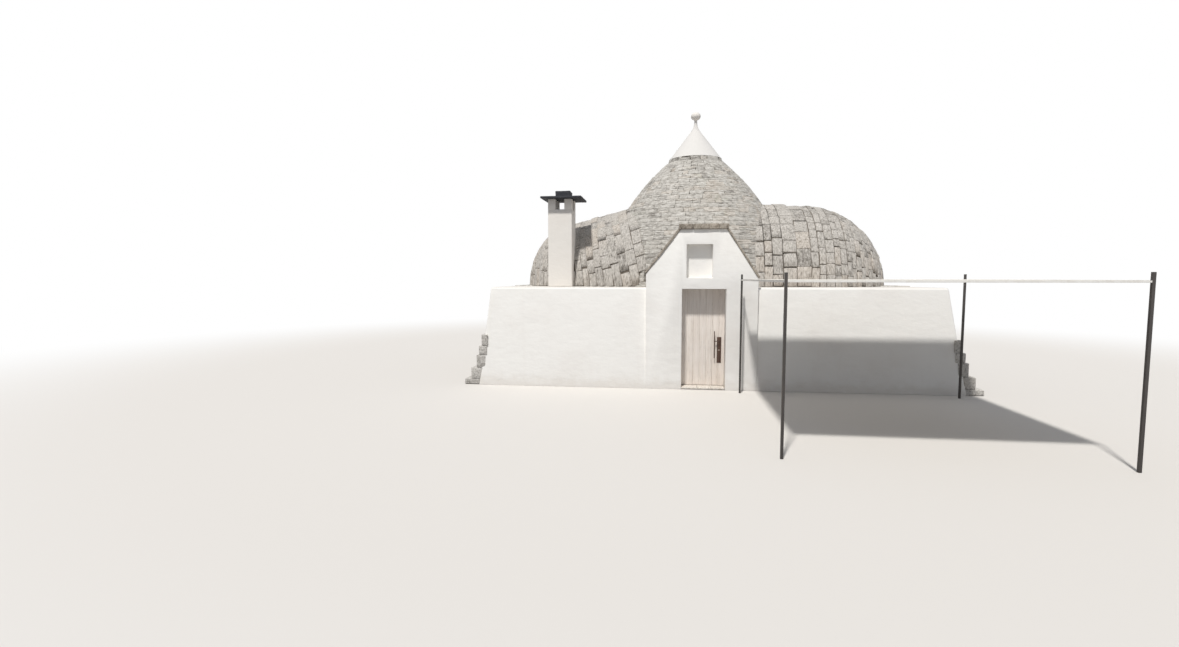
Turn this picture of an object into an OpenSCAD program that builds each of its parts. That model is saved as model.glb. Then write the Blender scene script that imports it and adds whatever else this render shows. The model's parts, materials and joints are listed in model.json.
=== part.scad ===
// Trullo house: a low battered block of thick walls, a dry-stone cone over the middle of one long
// room, a stone half-barrel vault on each side of it, a whitewashed gable round the door, a chimney
// with a slab on four corner stones, and a flat shade frame in front.
// Millimetres. The origin is on the ground under the tip of the cone, +X runs to the right along
// the facade, +Y into the house and +Z up.

/* [Walls] */
// Ground length of the facade to the left of the cone's axis
wall_left = 4760; // [4680:10:5000]
// Ground length of the facade to the right of the cone's axis
wall_right = 5230; // [5100:10:5500]
// Distance from the foot of the cone to the ground line of the facade, the same at the rear
roof_ledge = 650; // [580:5:780]
// Height of the flat roof edge of the walls above the doorway
wall_over = 30; // [10:5:90]
// How far the left end leans in over its height
lean_left = 260; // [150:5:320]
// How far the right end leans in over its height
lean_right = 370; // [150:5:420]
// How far the front and the rear lean in over their height
batter = 120; // [60:5:200]
// Thickness of the stone floor
floor_t = 40; // [25:5:80]

/* [Cone] */
// Outer radius of the cone where it stands on the walls
cone_foot_r = 2450; // [2400:5:2520]
// Outer radius of the last course, under the white cap
cone_top_r = 575; // [540:5:640]
// Height of the coursed stonework, from the walls to the cap
cone_h = 3180; // [3000:10:3400]
// How far the side bows out from a straight line
cone_bulge = 340; // [250:5:380]
// Height of one course of roof slabs
course_h = 106; // [90:2:180]
// Depth of the roof slabs that cover the structural cone
slab_cover = 200; // [120:5:260]
// Thickness of the structural cone behind the slabs
cone_wall = 380; // [300:5:400]

/* [Vaults] */
// Distance from the cone's axis at which the crowns of the vaults are measured
seam_x = 1690; // [1500:10:1800]
// Thickness of both vaults
vault_t = 400; // [250:5:450]
// How far the side of the left vault at the seam stands in from the foot of the cone
left_set_in = 500; // [420:5:620]
// Fall of the left vault towards its end, in degrees
left_fall = 14.8; // [8:0.2:17]
// How far the rounded end of the left vault stands in from the roof edge
left_shelf = 310; // [230:10:380]
// Radius of the level middle of that rounded end
left_flat = 267; // [200:1:400]
// How far the side of the right vault, whose end is a quarter sphere, stands in from that foot
right_set_in = 490; // [400:5:640]
// How far the end of the right vault stands in from the roof edge
right_shelf = 340; // [260:10:420]

/* [Gable] */
// Left edge of the gable front, from the cone's axis
gable_left = 1120; // [1000:5:1250]
// Right edge of the gable front, from the cone's axis
gable_right = 1170; // [1000:5:1250]
// Height above the roof edge at which the left slope of the gable starts
gable_rise_left = 290; // [200:5:450]
// Height above the roof edge at which the right slope of the gable starts
gable_rise_right = 190; // [180:5:450]
// Left end of the level top, from the cone's axis
gable_top_left = 410; // [350:5:500]
// Right end of the level top, from the cone's axis
gable_top_right = 520; // [450:5:600]
// Height of the level top of the gable above the roof edge
gable_rise = 1200; // [1080:5:1300]
// Thickness of the stone coping, measured upright
coping_t = 70; // [40:2:90]
// How far the coping stands out in front of the gable
coping_out = 30; // [15:1:60]
// Height of the eave course on the level top
eave_h = 110; // [80:2:150]
// How far the eave course stands out in front of the gable
eave_out = 85; // [50:5:120]
// How far the eave course runs past each end of the level top
eave_side = 45; // [20:5:80]
// Middle of the niche, from the cone's axis
niche_x = -20; // [-60:5:60]
// Width of the niche
niche_w = 530; // [300:5:600]
// Height of the niche's sill above the doorway
niche_up = 230; // [200:5:300]
// Height of the niche
niche_h = 690; // [500:5:720]
// Depth of the niche
niche_d = 170; // [80:5:220]

/* [Door] */
// Middle of the doorway, from the cone's axis
door_x = 80; // [20:5:120]
// Clear width of the doorway between its plastered sides
door_w = 900; // [800:5:1000]
// Height of the doorway above the ground
door_h = 2100; // [1950:5:2110]
// Depth of the plastered reveal in front of the leaf's recess
reveal_d = 310; // [250:5:330]
// How far the leaf stands back from the plastered reveal
leaf_back = 5; // [5:0.5:10]
// How far the leaf laps behind the reveal on each side and at the top
leaf_lap = 18; // [10:1:30]
// Thickness of the leaf
leaf_t = 50; // [40:1:60]
// Gap round the leaf
leaf_gap = 8; // [7:0.5:12]
// Width of the frame's posts and head
frame_w = 60; // [50:1:90]
// Height of each ledge on the inner side of the leaf
ledge_h = 120; // [80:5:150]
// Thickness of the ledges
ledge_t = 25; // [15:1:35]
// Distance from the bottom of the leaf up to the lower hinge
hinge_up = 402; // [300:2:500]
// Distance from the top of the leaf down to the upper hinge
hinge_down = 418; // [380:2:600]
// Radius of the hinge pins
pin_r = 8; // [6:0.5:9]
// Radius of the hinge barrels
barrel_r = 14; // [13:0.5:16]
// Running clearance round each hinge pin
pin_fit = 0.05; // [0.02:0.01:0.1]
// Height of each hinge barrel
barrel_h = 60; // [40:2:80]
// Length of the hinge straps
strap_l = 420; // [300:5:600]
// Thickness of the straps and of the pintle plates
strap_t = 8; // [7:0.5:10]
// Width of the lock plate
plate_w = 90; // [60:2:110]
// Height of the lock plate
plate_h = 550; // [400:5:650]
// Thickness of the lock plate
plate_t = 8; // [5:0.5:10]
// Height of the middle of the lock plate above the ground
plate_z = 805; // [700:5:1000]
// Distance from the middle of the lock plate to the edge of the doorway
plate_in = 105; // [80:5:140]
// Length of the pull bar
pull_l = 575; // [400:5:700]
// Radius of the pull bar
pull_r = 9; // [7:0.5:12]
// How far the pull bar stands in front of the lock plate
pull_out = 52; // [40:1:70]
// Distance from the middle of the lock plate to the pull bar
pull_side = 104; // [90:2:130]
// Height of the middle of the pull bar above the ground
pull_z = 920; // [800:5:1000]
// Height of the pull bar's arm above the middle of the bar
pull_arm_up = 75; // [40:5:120]

/* [Chimney] */
// Middle of the chimney, from the cone's axis
chimney_x = 3160; // [2950:5:3350]
// Width of the square shaft
chimney_w = 564; // [500:2:600]
// How much of the left vault's foot is left between the shaft and the room
chimney_foot = 95; // [60:5:200]
// Height of the shaft above the walls
shaft_h = 1785; // [1500:5:2000]
// Width of the four corner stones
merlon_w = 180; // [130:2:200]
// Height of the four corner stones
merlon_h = 240; // [160:5:320]
// Width of the square slab on the corner stones
slab_w = 944; // [760:2:1020]
// Thickness of the slab
slab_t = 44; // [30:2:70]
// Width of the stone that weighs the slab down
weight_w = 348; // [270:2:420]
// Height of the stone that weighs the slab down
weight_h = 155; // [100:5:220]
// How far the slab and its weight lie to the right of the shaft's middle
slab_off = 50; // [-60:5:100]

/* [Cap] */
// How far the cap laps over the edge of the last course
cap_over = 85; // [60:1:110]
// Height of the cap at which its straight sides would meet the neck
cap_h = 820; // [740:2:900]
// Radius of the hollow sweep from the cap's sides to its neck
cap_sweep = 400; // [250:5:450]
// Radius of the neck under the ball
neck_r = 36; // [28:1:44]
// Radius of the flattened ball
ball_r = 120; // [90:2:150]
// Radius of the ball's rounded rim, half its height
ball_rim = 92; // [70:2:110]
// How far the ball's middle lies above the top of the cap
ball_up = 138; // [130:2:170]

/* [Shade frame] */
// Middle of the two left posts, from the cone's axis
post_left_x = 800; // [750:5:900]
// Middle of the two right posts, from the cone's axis
post_right_x = 4960; // [4700:5:5100]
// Distance from the facade to the rear posts
post_rear = 270; // [220:5:400]
// Distance from the facade to the front posts
post_front = 4670; // [4300:5:4900]
// Width of the square posts
post_w = 60; // [50:2:90]
// Height of the posts
post_h = 2400; // [2360:5:2500]
// Width and height of the rails
rail_w = 40; // [30:1:50]
// Height of the top of the rails
rail_top = 2300; // [2250:5:2320]
// Distance from the facade to the rail at the back of the cloth
cloth_rail = 630; // [500:5:800]
// Thickness of the stretched cloth
cloth_t = 12; // [8:1:20]

/* [Hidden] */
$fn = 180;

plaster = "#f1ece6";
stone = "#b9b2aa";
limewood = "#cdc3b8";
iron = "#46352c";
steel = "#554b46";
slate = "#2a2c33";

wall_h = door_h + wall_over;
left_end = wall_left - lean_left - left_shelf;
right_end = wall_right - lean_right - right_shelf;
gable_eave_left = wall_h + gable_rise_left;
gable_eave_right = wall_h + gable_rise_right;
gable_foot = min(gable_eave_left, gable_eave_right);
gable_h = wall_h + gable_rise;
niche_sill = door_h + niche_up;

front_y = -cone_foot_r - roof_ledge;
top_z = wall_h + cone_h;
reach = wall_left + wall_right;

left_crown_r = cone_foot_r - left_set_in;
right_crown_r = cone_foot_r - right_set_in;

// Joint between the plinth and the leaning wall behind it.
plinth_joint = 0.3;

// Stepped courses down each end: height of the top of the course, how far it stands out.
plinth_steps = [[120, 340], [370, 210], [650, 120], [850, 100], [1100, 60]];

door_left = door_x - door_w / 2;
door_right = door_x + door_w / 2;
recess_y = front_y + reveal_d;
leaf_y = recess_y + leaf_back;
leaf_left = door_left - leaf_lap;
leaf_right = door_right + leaf_lap;
leaf_bottom = floor_t + leaf_gap;
leaf_top = door_h + leaf_lap;
passage_left = leaf_left - leaf_gap - frame_w;
passage_right = leaf_right + leaf_gap + frame_w;
passage_h = leaf_top + leaf_gap + frame_w;
leaf_inner_y = leaf_y + leaf_t;
hinge_low = leaf_bottom + hinge_up;
hinge_high = leaf_top - hinge_down;
frame_d = leaf_back + leaf_t;

// The hinge line stands clear of the leaf's inner face and just beyond its edge.
hinge_clear = 5;
hinge_beyond = 3;
hinge_x = leaf_left - hinge_beyond;
hinge_y = leaf_inner_y + barrel_r + hinge_clear;
hinge_seat = 0.3;
ledge_side = 50;

course_n = round(cone_h / course_h);
course_step = cone_h / course_n;
cone_chord = norm([cone_foot_r - cone_top_r, cone_h]);
cone_arc_r = pow(cone_chord, 2) / (8 * cone_bulge) + cone_bulge / 2;
cone_arc_x = (cone_foot_r + cone_top_r) / 2 - (cone_arc_r - cone_bulge) * cone_h / cone_chord;
cone_arc_z = cone_h / 2 - (cone_arc_r - cone_bulge) * (cone_foot_r - cone_top_r) / cone_chord;

// Outer radius of a course, taken at the middle of its height.
function course_r(i) =
    cone_arc_x + sqrt(pow(cone_arc_r, 2) - pow((i + 0.5) * course_step - cone_arc_z, 2));

// The vaults stop at conical bands that run just outside the edges of the courses: courses to a
// band, the length of the highest band's side, and the joint that keeps every edge inside.
seam_band = 4;
seam_fit = 0.3;
seam_chord = norm([
    course_r(course_n - 1 - seam_band) - course_r(course_n - 1),
    seam_band * course_step
]);
seam_joint = pow(seam_chord, 2) / (8 * cone_arc_r) + seam_fit;

room_r = course_r(0) - slab_cover - cone_wall;
cut_foot = course_step;

// Rounding at the end of a vault, between its sloping side and the level middle of its end.
function end_round(crown, fall, end, flat) =
    (crown - (end - seam_x) * tan(fall) - flat) / (1 / cos(fall) - tan(fall));

cap_foot_r = cone_top_r + cap_over;
cap_angle = atan((cap_foot_r - neck_r) / cap_h);
cap_tangent = cap_sweep * tan(cap_angle / 2);
cap_top = cap_h + cap_tangent;

// The shaft is let into the foot of the left vault, which is widest at the shaft's inner side.
chimney_in = chimney_x - chimney_w / 2 - seam_x;
chimney_room_r = left_crown_r - vault_t / cos(left_fall) - chimney_in * tan(left_fall);
chimney_y = -chimney_room_r - chimney_foot - chimney_w / 2;
merlon_z = wall_h + shaft_h;
slab_z = merlon_z + merlon_h;

plate_x = door_right - plate_in;
pull_x = plate_x - pull_side;
pull_y = leaf_y - plate_t - pull_out;
pull_arm_z = pull_z + pull_arm_up;

// A block between two corners.
module block(low, high) {
    translate(low) cube(high - low);
}

// A flat shape in X and Z, run back from one Y to another.
module along_y(y0, y1) {
    translate([0, y1, 0]) rotate([90, 0, 0]) linear_extrude(y1 - y0) children();
}

// Half of the outline of a vault, standing on the vault's own axis: radius across, distance along.
module vault_profile(crown, fall, end, flat, inset) {
    round = end_round(crown, fall, end, flat);
    mid_l = end - round;
    r = round - inset;
    side_r = flat + r * cos(fall);
    side_l = mid_l + r * sin(fall);
    polygon([
        [0, 0],
        [side_r + side_l * tan(fall), 0],
        [side_r, side_l],
        [flat, mid_l],
        [0, mid_l]
    ]);
    intersection() {
        translate([flat, mid_l]) circle(r);
        translate([0, mid_l]) square([crown, round]);
    }
    if (flat > 0) translate([0, mid_l]) square([flat, r]);
}

module left_profile(inset) {
    vault_profile(left_crown_r, left_fall, left_end, left_flat, inset);
}

module right_profile(inset) {
    vault_profile(right_crown_r, 0, right_end, 0, inset);
}

// The body that a profile sweeps round the X axis at the top of the walls.
module swept_body() {
    translate([0, 0, wall_h]) rotate([90, 0, 90]) rotate_extrude() children();
}

module left_vault_body(inset) {
    mirror([1, 0, 0]) swept_body() left_profile(inset);
}

module right_vault_body(inset) {
    swept_body() right_profile(inset);
}

// The space above the walls.
module above_walls() {
    block([-reach, -reach, wall_h], [reach, reach, wall_h + reach]);
}

// The room's outline on the floor: the round under the cone and the two vaulted ends.
module room_plan() {
    circle(room_r);
    for (flip = [0, 1]) mirror([0, flip]) {
        rotate(-90) right_profile(vault_t);
        mirror([1, 0]) rotate(-90) left_profile(vault_t);
    }
}

// Solid cone with one step for each course, drawn in by an inset and carried down by a foot.
module stepped_cone(inset, foot) {
    translate([0, 0, wall_h]) rotate_extrude() polygon([
        [0, -foot],
        [course_r(0) - inset, -foot],
        for (i = [0 : course_n - 2], step = [0, 1]) [course_r(i + step) - inset, (i + 1) * course_step],
        [course_r(course_n - 1) - inset, cone_h],
        [0, cone_h]
    ]);
}

// Solid with the side that the vaults end against, carried down by a foot.
module banded_cone(foot) {
    translate([0, 0, wall_h]) rotate_extrude() polygon([
        [0, -foot],
        [course_r(0) + seam_joint, -foot],
        for (i = [0 : seam_band : course_n - 2]) [course_r(i) + seam_joint, (i + 1) * course_step],
        [course_r(course_n - 1) + seam_joint, cone_h],
        [0, cone_h]
    ]);
}

// Hole for the door behind the reveal, frame included.
module passage() {
    block([passage_left, recess_y, 0], [passage_right, 0, passage_h]);
}

// The whole walled block, with its leaning faces.
module wall_mass() {
    intersection() {
        along_y(front_y, -front_y) polygon([
            [-wall_left, 0],
            [wall_right, 0],
            [wall_right - lean_right, wall_h],
            [-wall_left + lean_left, wall_h]
        ]);
        rotate([90, 0, 90]) translate([0, 0, -wall_left]) linear_extrude(reach) polygon([
            [front_y, 0],
            [-front_y, 0],
            [-front_y - batter, wall_h],
            [front_y + batter, wall_h]
        ]);
    }
}

// The part of the walled block between two corners of the plan, hollowed by the room.
module wall_part(low, high) {
    difference() {
        intersection() {
            wall_mass();
            block([low.x, low.y, 0], [high.x, high.y, wall_h]);
        }
        linear_extrude(wall_h) room_plan();
    }
}

// Half the width of each end wall's own stretch, out to where the end of the room is round.
end_half_left = left_flat
    + (end_round(left_crown_r, left_fall, left_end, left_flat) - vault_t) * cos(45);
end_half_right = (right_crown_r - vault_t) * cos(45);

module floor() {
    color(stone) linear_extrude(floor_t) {
        room_plan();
        translate([passage_left, recess_y]) square([passage_right - passage_left, -recess_y]);
    }
}

module threshold() {
    color(stone) block([door_left, front_y, 0], [door_right, recess_y, floor_t]);
}

module front_wall_left() {
    color(plaster) wall_part([-wall_left, front_y], [-gable_left, -end_half_left]);
}

module front_wall_right() {
    color(plaster) wall_part([gable_right, front_y], [wall_right, -end_half_right]);
}

module side_wall_left() {
    color(stone) wall_part([-wall_left, -end_half_left], [0, end_half_left]);
}

module side_wall_right() {
    color(stone) wall_part([0, -end_half_right], [wall_right, end_half_right]);
}

module rear_wall_left() {
    color(stone) wall_part([-wall_left, end_half_left], [0, -front_y]);
}

module rear_wall_right() {
    color(stone) wall_part([0, end_half_right], [wall_right, -front_y]);
}

// Stepped courses against an end that starts at a distance and leans in.
module plinth(start, lean) {
    function face(z) = start - lean * z / wall_h;
    tops = [0, for (s = plinth_steps) s[0]];
    n = len(plinth_steps);
    along_y(front_y, -front_y) polygon([
        [start + plinth_joint, 0],
        for (i = [0 : n - 1], k = [0, 1])
            [face((tops[i] + tops[i + 1]) / 2) + plinth_steps[i][1], tops[i + k]],
        [face(tops[n]) + plinth_joint, tops[n]]
    ]);
}

module plinth_left() {
    color(stone) mirror([1, 0, 0]) plinth(wall_left, lean_left);
}

module plinth_right() {
    color(stone) plinth(wall_right, lean_right);
}

// One side of the doorway, from its outer edge to the edges of the reveal and of the passage.
module door_jamb(outer, reveal, inner) {
    difference() {
        union() {
            block(
                [min(outer, reveal), front_y, 0],
                [max(outer, reveal), recess_y, door_h]
            );
            block([min(outer, inner), recess_y, 0], [max(outer, inner), 0, wall_h]);
        }
        linear_extrude(wall_h) room_plan();
    }
}

module door_jamb_left() {
    color(plaster) door_jamb(-gable_left, door_left, passage_left);
}

module door_jamb_right() {
    color(plaster) door_jamb(gable_right, door_right, passage_right);
}

// Outline of the gable above a height, raised by a lift.
module gable_outline(bottom, lift) {
    polygon([
        [-gable_left, bottom],
        [gable_right, bottom],
        [gable_right, gable_eave_right + lift],
        [gable_top_right, gable_h + lift],
        [-gable_top_left, gable_h + lift],
        [-gable_left, gable_eave_left + lift]
    ]);
}

module gable_head() {
    color(plaster) difference() {
        along_y(front_y, recess_y) gable_outline(door_h, 0);
        block(
            [niche_x - niche_w / 2, front_y, niche_sill],
            [niche_x + niche_w / 2, front_y + niche_d, niche_sill + niche_h]
        );
    }
}

// The coping down both slopes, with the thicker eave course on the level top.
module gable_coping() {
    color(stone) {
        along_y(front_y - coping_out, recess_y) difference() {
            gable_outline(gable_foot, coping_t);
            gable_outline(gable_foot - coping_t, 0);
        }
        block(
            [-gable_top_left - eave_side, front_y - eave_out, gable_h],
            [gable_top_right + eave_side, recess_y, gable_h + eave_h]
        );
    }
}

module gable_roof() {
    color(stone) difference() {
        along_y(recess_y, 0) gable_outline(wall_h, coping_t);
        stepped_cone(0, cut_foot);
        passage();
    }
}

module vault_left() {
    color(stone) intersection() {
        difference() {
            left_vault_body(0);
            left_vault_body(vault_t);
            banded_cone(cut_foot);
            at_chimney(0) square_block(chimney_w, reach);
        }
        above_walls();
    }
}

module vault_right() {
    color(stone) intersection() {
        difference() {
            right_vault_body(0);
            right_vault_body(vault_t);
            banded_cone(cut_foot);
        }
        above_walls();
    }
}

// What both layers of the cone leave open: the ends of the room and the way in.
module cone_openings() {
    left_vault_body(vault_t);
    right_vault_body(vault_t);
    passage();
}

module cone_shell() {
    color(stone) difference() {
        stepped_cone(slab_cover, 0);
        stepped_cone(slab_cover + cone_wall, cut_foot);
        cone_openings();
    }
}

module cone_courses() {
    color(stone) difference() {
        stepped_cone(0, 0);
        stepped_cone(slab_cover, cut_foot);
        cone_openings();
    }
}

module cone_cap() {
    color(plaster) translate([0, 0, top_z]) rotate_extrude() difference() {
        polygon([
            [0, 0],
            [cap_foot_r, 0],
            [neck_r + cap_tangent * sin(cap_angle), cap_h - cap_tangent * cos(cap_angle)],
            [neck_r + cap_sweep, cap_top],
            [0, cap_top]
        ]);
        translate([neck_r + cap_sweep, cap_top]) circle(cap_sweep);
    }
}

module cap_ball() {
    color(plaster) translate([0, 0, top_z + cap_top]) {
        cylinder(h = ball_up, r = neck_r);
        translate([0, 0, ball_up]) rotate_extrude() {
            intersection() {
                translate([ball_r - ball_rim, 0]) circle(ball_rim);
                translate([0, -ball_rim]) square([ball_r, 2 * ball_rim]);
            }
            translate([0, -ball_rim]) square([ball_r - ball_rim, 2 * ball_rim]);
        }
    }
}

// Moves what follows to the foot of the chimney, or up from there.
module at_chimney(z) {
    translate([-chimney_x, chimney_y, z]) children();
}

// A square block standing on the chimney's axis.
module square_block(w, h) {
    translate([-w / 2, -w / 2, 0]) cube([w, w, h]);
}

module chimney_shaft() {
    color(plaster) at_chimney(wall_h) difference() {
        square_block(chimney_w, shaft_h);
        square_block(chimney_w - 2 * merlon_w, shaft_h);
    }
}

module chimney_merlons() {
    corner = (chimney_w - merlon_w) / 2;
    color(plaster) at_chimney(merlon_z) {
        for (x = [-corner, corner], y = [-corner, corner]) {
            translate([x, y, 0]) square_block(merlon_w, merlon_h);
        }
    }
}

module chimney_slab() {
    color(slate) at_chimney(slab_z) translate([slab_off, 0]) square_block(slab_w, slab_t);
}

module chimney_weight() {
    color(slate) at_chimney(slab_z + slab_t) {
        translate([slab_off, 0]) square_block(weight_w, weight_h);
    }
}

module frame_post_left() {
    color(limewood) block(
        [passage_left, recess_y, floor_t],
        [passage_left + frame_w, leaf_inner_y, passage_h - frame_w]
    );
}

module frame_post_right() {
    color(limewood) block(
        [passage_right - frame_w, recess_y, floor_t],
        [passage_right, leaf_inner_y, passage_h - frame_w]
    );
}

module frame_head() {
    color(limewood) block(
        [passage_left, recess_y, passage_h - frame_w],
        [passage_right, leaf_inner_y, passage_h]
    );
}

// A hinge's fixed half: plate on the frame, knuckle under the barrel, and the pin through it.
module pintle() {
    knuckle_h = barrel_h / 2;
    translate([hinge_x, hinge_y, 0]) {
        cylinder(h = knuckle_h, r = barrel_r);
        cylinder(h = knuckle_h + hinge_seat + barrel_h, r = pin_r);
    }
    block([passage_left + strap_t, leaf_inner_y, 0], [hinge_x, leaf_inner_y + strap_t, knuckle_h]);
}

// A hinge's moving half: strap across the leaf and the barrel that turns on the pin.
module strap() {
    difference() {
        union() {
            translate([hinge_x, hinge_y, 0]) cylinder(h = barrel_h, r = barrel_r);
            block([hinge_x, leaf_inner_y, 0], [hinge_x + strap_l, leaf_inner_y + strap_t, barrel_h]);
        }
        translate([hinge_x, hinge_y, 0]) cylinder(h = barrel_h, r = pin_r + pin_fit);
    }
}

module hinge_pintles() {
    color(iron) for (z = [hinge_low, hinge_high]) translate([0, 0, z]) pintle();
}

module hinge_straps() {
    lift = barrel_h / 2 + hinge_seat;
    color(iron) for (z = [hinge_low, hinge_high]) translate([0, 0, z + lift]) strap();
}

module door_leaf() {
    color(limewood) block(
        [leaf_left, leaf_y, leaf_bottom],
        [leaf_right, leaf_inner_y, leaf_top]
    );
}

module door_ledges() {
    low = leaf_bottom + ledge_h;
    high = leaf_top - 2 * ledge_h;
    color(limewood) for (z = [low, (low + high) / 2, high]) {
        block(
            [leaf_left + ledge_side, leaf_inner_y, z],
            [leaf_right - ledge_side, leaf_inner_y + ledge_t, z + ledge_h]
        );
    }
}

module lock_plate() {
    color(iron) block(
        [plate_x - plate_w / 2, leaf_y - plate_t, plate_z - plate_h / 2],
        [plate_x + plate_w / 2, leaf_y, plate_z + plate_h / 2]
    );
}

module door_pull() {
    color(iron) {
        translate([pull_x, pull_y, pull_z - pull_l / 2]) cylinder(h = pull_l, r = pull_r);
        translate([pull_x, pull_y, pull_arm_z]) rotate([0, 90, 0]) cylinder(h = pull_side, r = pull_r);
        translate([plate_x, pull_y, pull_arm_z]) rotate([-90, 0, 0]) cylinder(h = pull_out, r = pull_r);
    }
}

// A square post at a place in the plan.
module post(x, gap) {
    color(steel) translate([x, front_y - gap, 0]) square_block(post_w, post_h);
}

module post_front_left() {
    post(post_left_x, post_front);
}

module post_front_right() {
    post(post_right_x, post_front);
}

module post_rear_left() {
    post(post_left_x, post_rear);
}

module post_rear_right() {
    post(post_right_x, post_rear);
}

// A rail between the two posts of one side.
module side_rail(x) {
    color(plaster) block(
        [x - rail_w / 2, front_y - post_front + post_w / 2, rail_top - rail_w],
        [x + rail_w / 2, front_y - post_rear - post_w / 2, rail_top]
    );
}

module rail_left() {
    side_rail(post_left_x);
}

module rail_right() {
    side_rail(post_right_x);
}

module rail_front() {
    color(plaster) block(
        [post_left_x + post_w / 2, front_y - post_front - rail_w / 2, rail_top - rail_w],
        [post_right_x - post_w / 2, front_y - post_front + rail_w / 2, rail_top]
    );
}

module rail_rear() {
    color(plaster) block(
        [post_left_x + rail_w / 2, front_y - cloth_rail - rail_w / 2, rail_top - rail_w],
        [post_right_x - rail_w / 2, front_y - cloth_rail + rail_w / 2, rail_top]
    );
}

module shade_cloth() {
    color(plaster) block(
        [post_left_x - rail_w / 2, front_y - post_front + post_w / 2, rail_top],
        [post_right_x + rail_w / 2, front_y - cloth_rail + rail_w / 2, rail_top + cloth_t]
    );
}

floor();
threshold();
front_wall_left();
front_wall_right();
side_wall_left();
side_wall_right();
rear_wall_left();
rear_wall_right();
plinth_left();
plinth_right();
door_jamb_left();
door_jamb_right();
gable_head();
gable_coping();
gable_roof();
vault_left();
vault_right();
cone_shell();
cone_courses();
cone_cap();
cap_ball();
chimney_shaft();
chimney_merlons();
chimney_slab();
chimney_weight();
frame_post_left();
frame_post_right();
frame_head();
hinge_pintles();
door_leaf();
door_ledges();
hinge_straps();
lock_plate();
door_pull();
post_front_left();
post_front_right();
post_rear_left();
post_rear_right();
rail_left();
rail_right();
rail_front();
rail_rear();
shade_cloth();
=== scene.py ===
"""Dressed model of a trullo house: stones, limewash, boards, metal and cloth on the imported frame.

All lengths are in metres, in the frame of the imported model: +X to the right along the facade,
+Y from the facade into the house, +Z up from the ground.
"""

import json
import logging
import math
import random
from dataclasses import dataclass, field
from enum import Enum
from typing import Callable, Iterator, Sequence

import bmesh
import bpy
from mathutils import Euler, Matrix, Vector, noise

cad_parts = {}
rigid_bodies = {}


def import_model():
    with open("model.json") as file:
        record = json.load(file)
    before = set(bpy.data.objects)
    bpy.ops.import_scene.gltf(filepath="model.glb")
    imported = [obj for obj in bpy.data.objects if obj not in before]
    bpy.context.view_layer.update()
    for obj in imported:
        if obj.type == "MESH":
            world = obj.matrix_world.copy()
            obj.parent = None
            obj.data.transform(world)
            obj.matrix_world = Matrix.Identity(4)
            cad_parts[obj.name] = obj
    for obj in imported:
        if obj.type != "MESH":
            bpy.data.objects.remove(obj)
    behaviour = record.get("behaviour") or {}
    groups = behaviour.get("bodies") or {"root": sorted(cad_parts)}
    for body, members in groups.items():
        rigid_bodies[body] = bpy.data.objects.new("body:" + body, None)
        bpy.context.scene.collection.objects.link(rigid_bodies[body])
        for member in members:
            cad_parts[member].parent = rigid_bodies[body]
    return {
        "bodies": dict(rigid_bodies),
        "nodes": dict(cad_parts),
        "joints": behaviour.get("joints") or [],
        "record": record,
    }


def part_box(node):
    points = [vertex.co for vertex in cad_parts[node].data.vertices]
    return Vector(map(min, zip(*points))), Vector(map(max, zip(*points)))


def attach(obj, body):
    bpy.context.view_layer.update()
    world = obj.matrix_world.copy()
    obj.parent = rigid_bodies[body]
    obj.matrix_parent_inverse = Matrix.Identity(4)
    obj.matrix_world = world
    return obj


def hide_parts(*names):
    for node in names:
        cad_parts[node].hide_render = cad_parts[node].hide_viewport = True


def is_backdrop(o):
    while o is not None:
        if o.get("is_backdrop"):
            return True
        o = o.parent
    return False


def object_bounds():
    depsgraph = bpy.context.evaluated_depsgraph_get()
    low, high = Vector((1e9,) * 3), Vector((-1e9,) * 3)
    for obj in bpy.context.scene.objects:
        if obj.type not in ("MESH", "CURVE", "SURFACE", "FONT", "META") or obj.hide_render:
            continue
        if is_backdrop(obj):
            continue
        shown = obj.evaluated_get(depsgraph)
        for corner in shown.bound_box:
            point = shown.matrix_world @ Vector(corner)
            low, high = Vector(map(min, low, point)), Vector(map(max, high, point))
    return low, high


log = logging.getLogger("trullo_house")

Colour = tuple[float, float, float, float]
Keep = Callable[[Vector, Vector], bool]
Pair = tuple[Vector, Vector]
Span = tuple[float, float]
Triple = tuple[float, float, float]

UP = Vector((0.0, 0.0, 1.0))
FRONT = Vector((0.0, -1.0, 0.0))
WHITE: Colour = (1.0, 1.0, 1.0, 1.0)


class Body(Enum):
    """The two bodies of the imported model."""

    HOUSE = "house"
    DOOR = "door"


class Slot(Enum):
    """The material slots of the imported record."""

    PLASTER = "plaster"
    STONE = "stone"
    SLATE = "slate"
    LIMEWOOD = "limewood"
    IRON = "iron"
    STEEL = "steel"
    WHITE_STEEL = "white_steel"
    CLOTH = "cloth"


class Grain(Enum):
    """How finely a board's grain runs along X, Y and Z."""

    UPRIGHT = (34.0, 34.0, 1.3)
    LEVEL = (1.3, 34.0, 34.0)


def tone(red: int, green: int, blue: int) -> Colour:
    """Turns a display colour into the linear values that a shader takes.

    Args:
        red: Red from 0 to 255, as the two others.
        green: Green.
        blue: Blue.

    Returns:
        The linear colour with full alpha.
    """

    def linear(level: int) -> float:
        """Returns one channel without the display curve."""
        part = level / 255.0
        return part / 12.92 if part <= 0.04045 else ((part + 0.055) / 1.055) ** 2.4

    return (linear(red), linear(green), linear(blue), 1.0)


# Node trees written as expressions


def maths(*operands: object) -> str:
    """Names the kind of node for operands: the vector one if any is a vector or a colour."""
    kinds = {item.socket.type for item in operands if isinstance(item, Wire)}
    return "ShaderNodeVectorMath" if kinds & {"VECTOR", "RGBA"} else "ShaderNodeMath"


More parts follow.
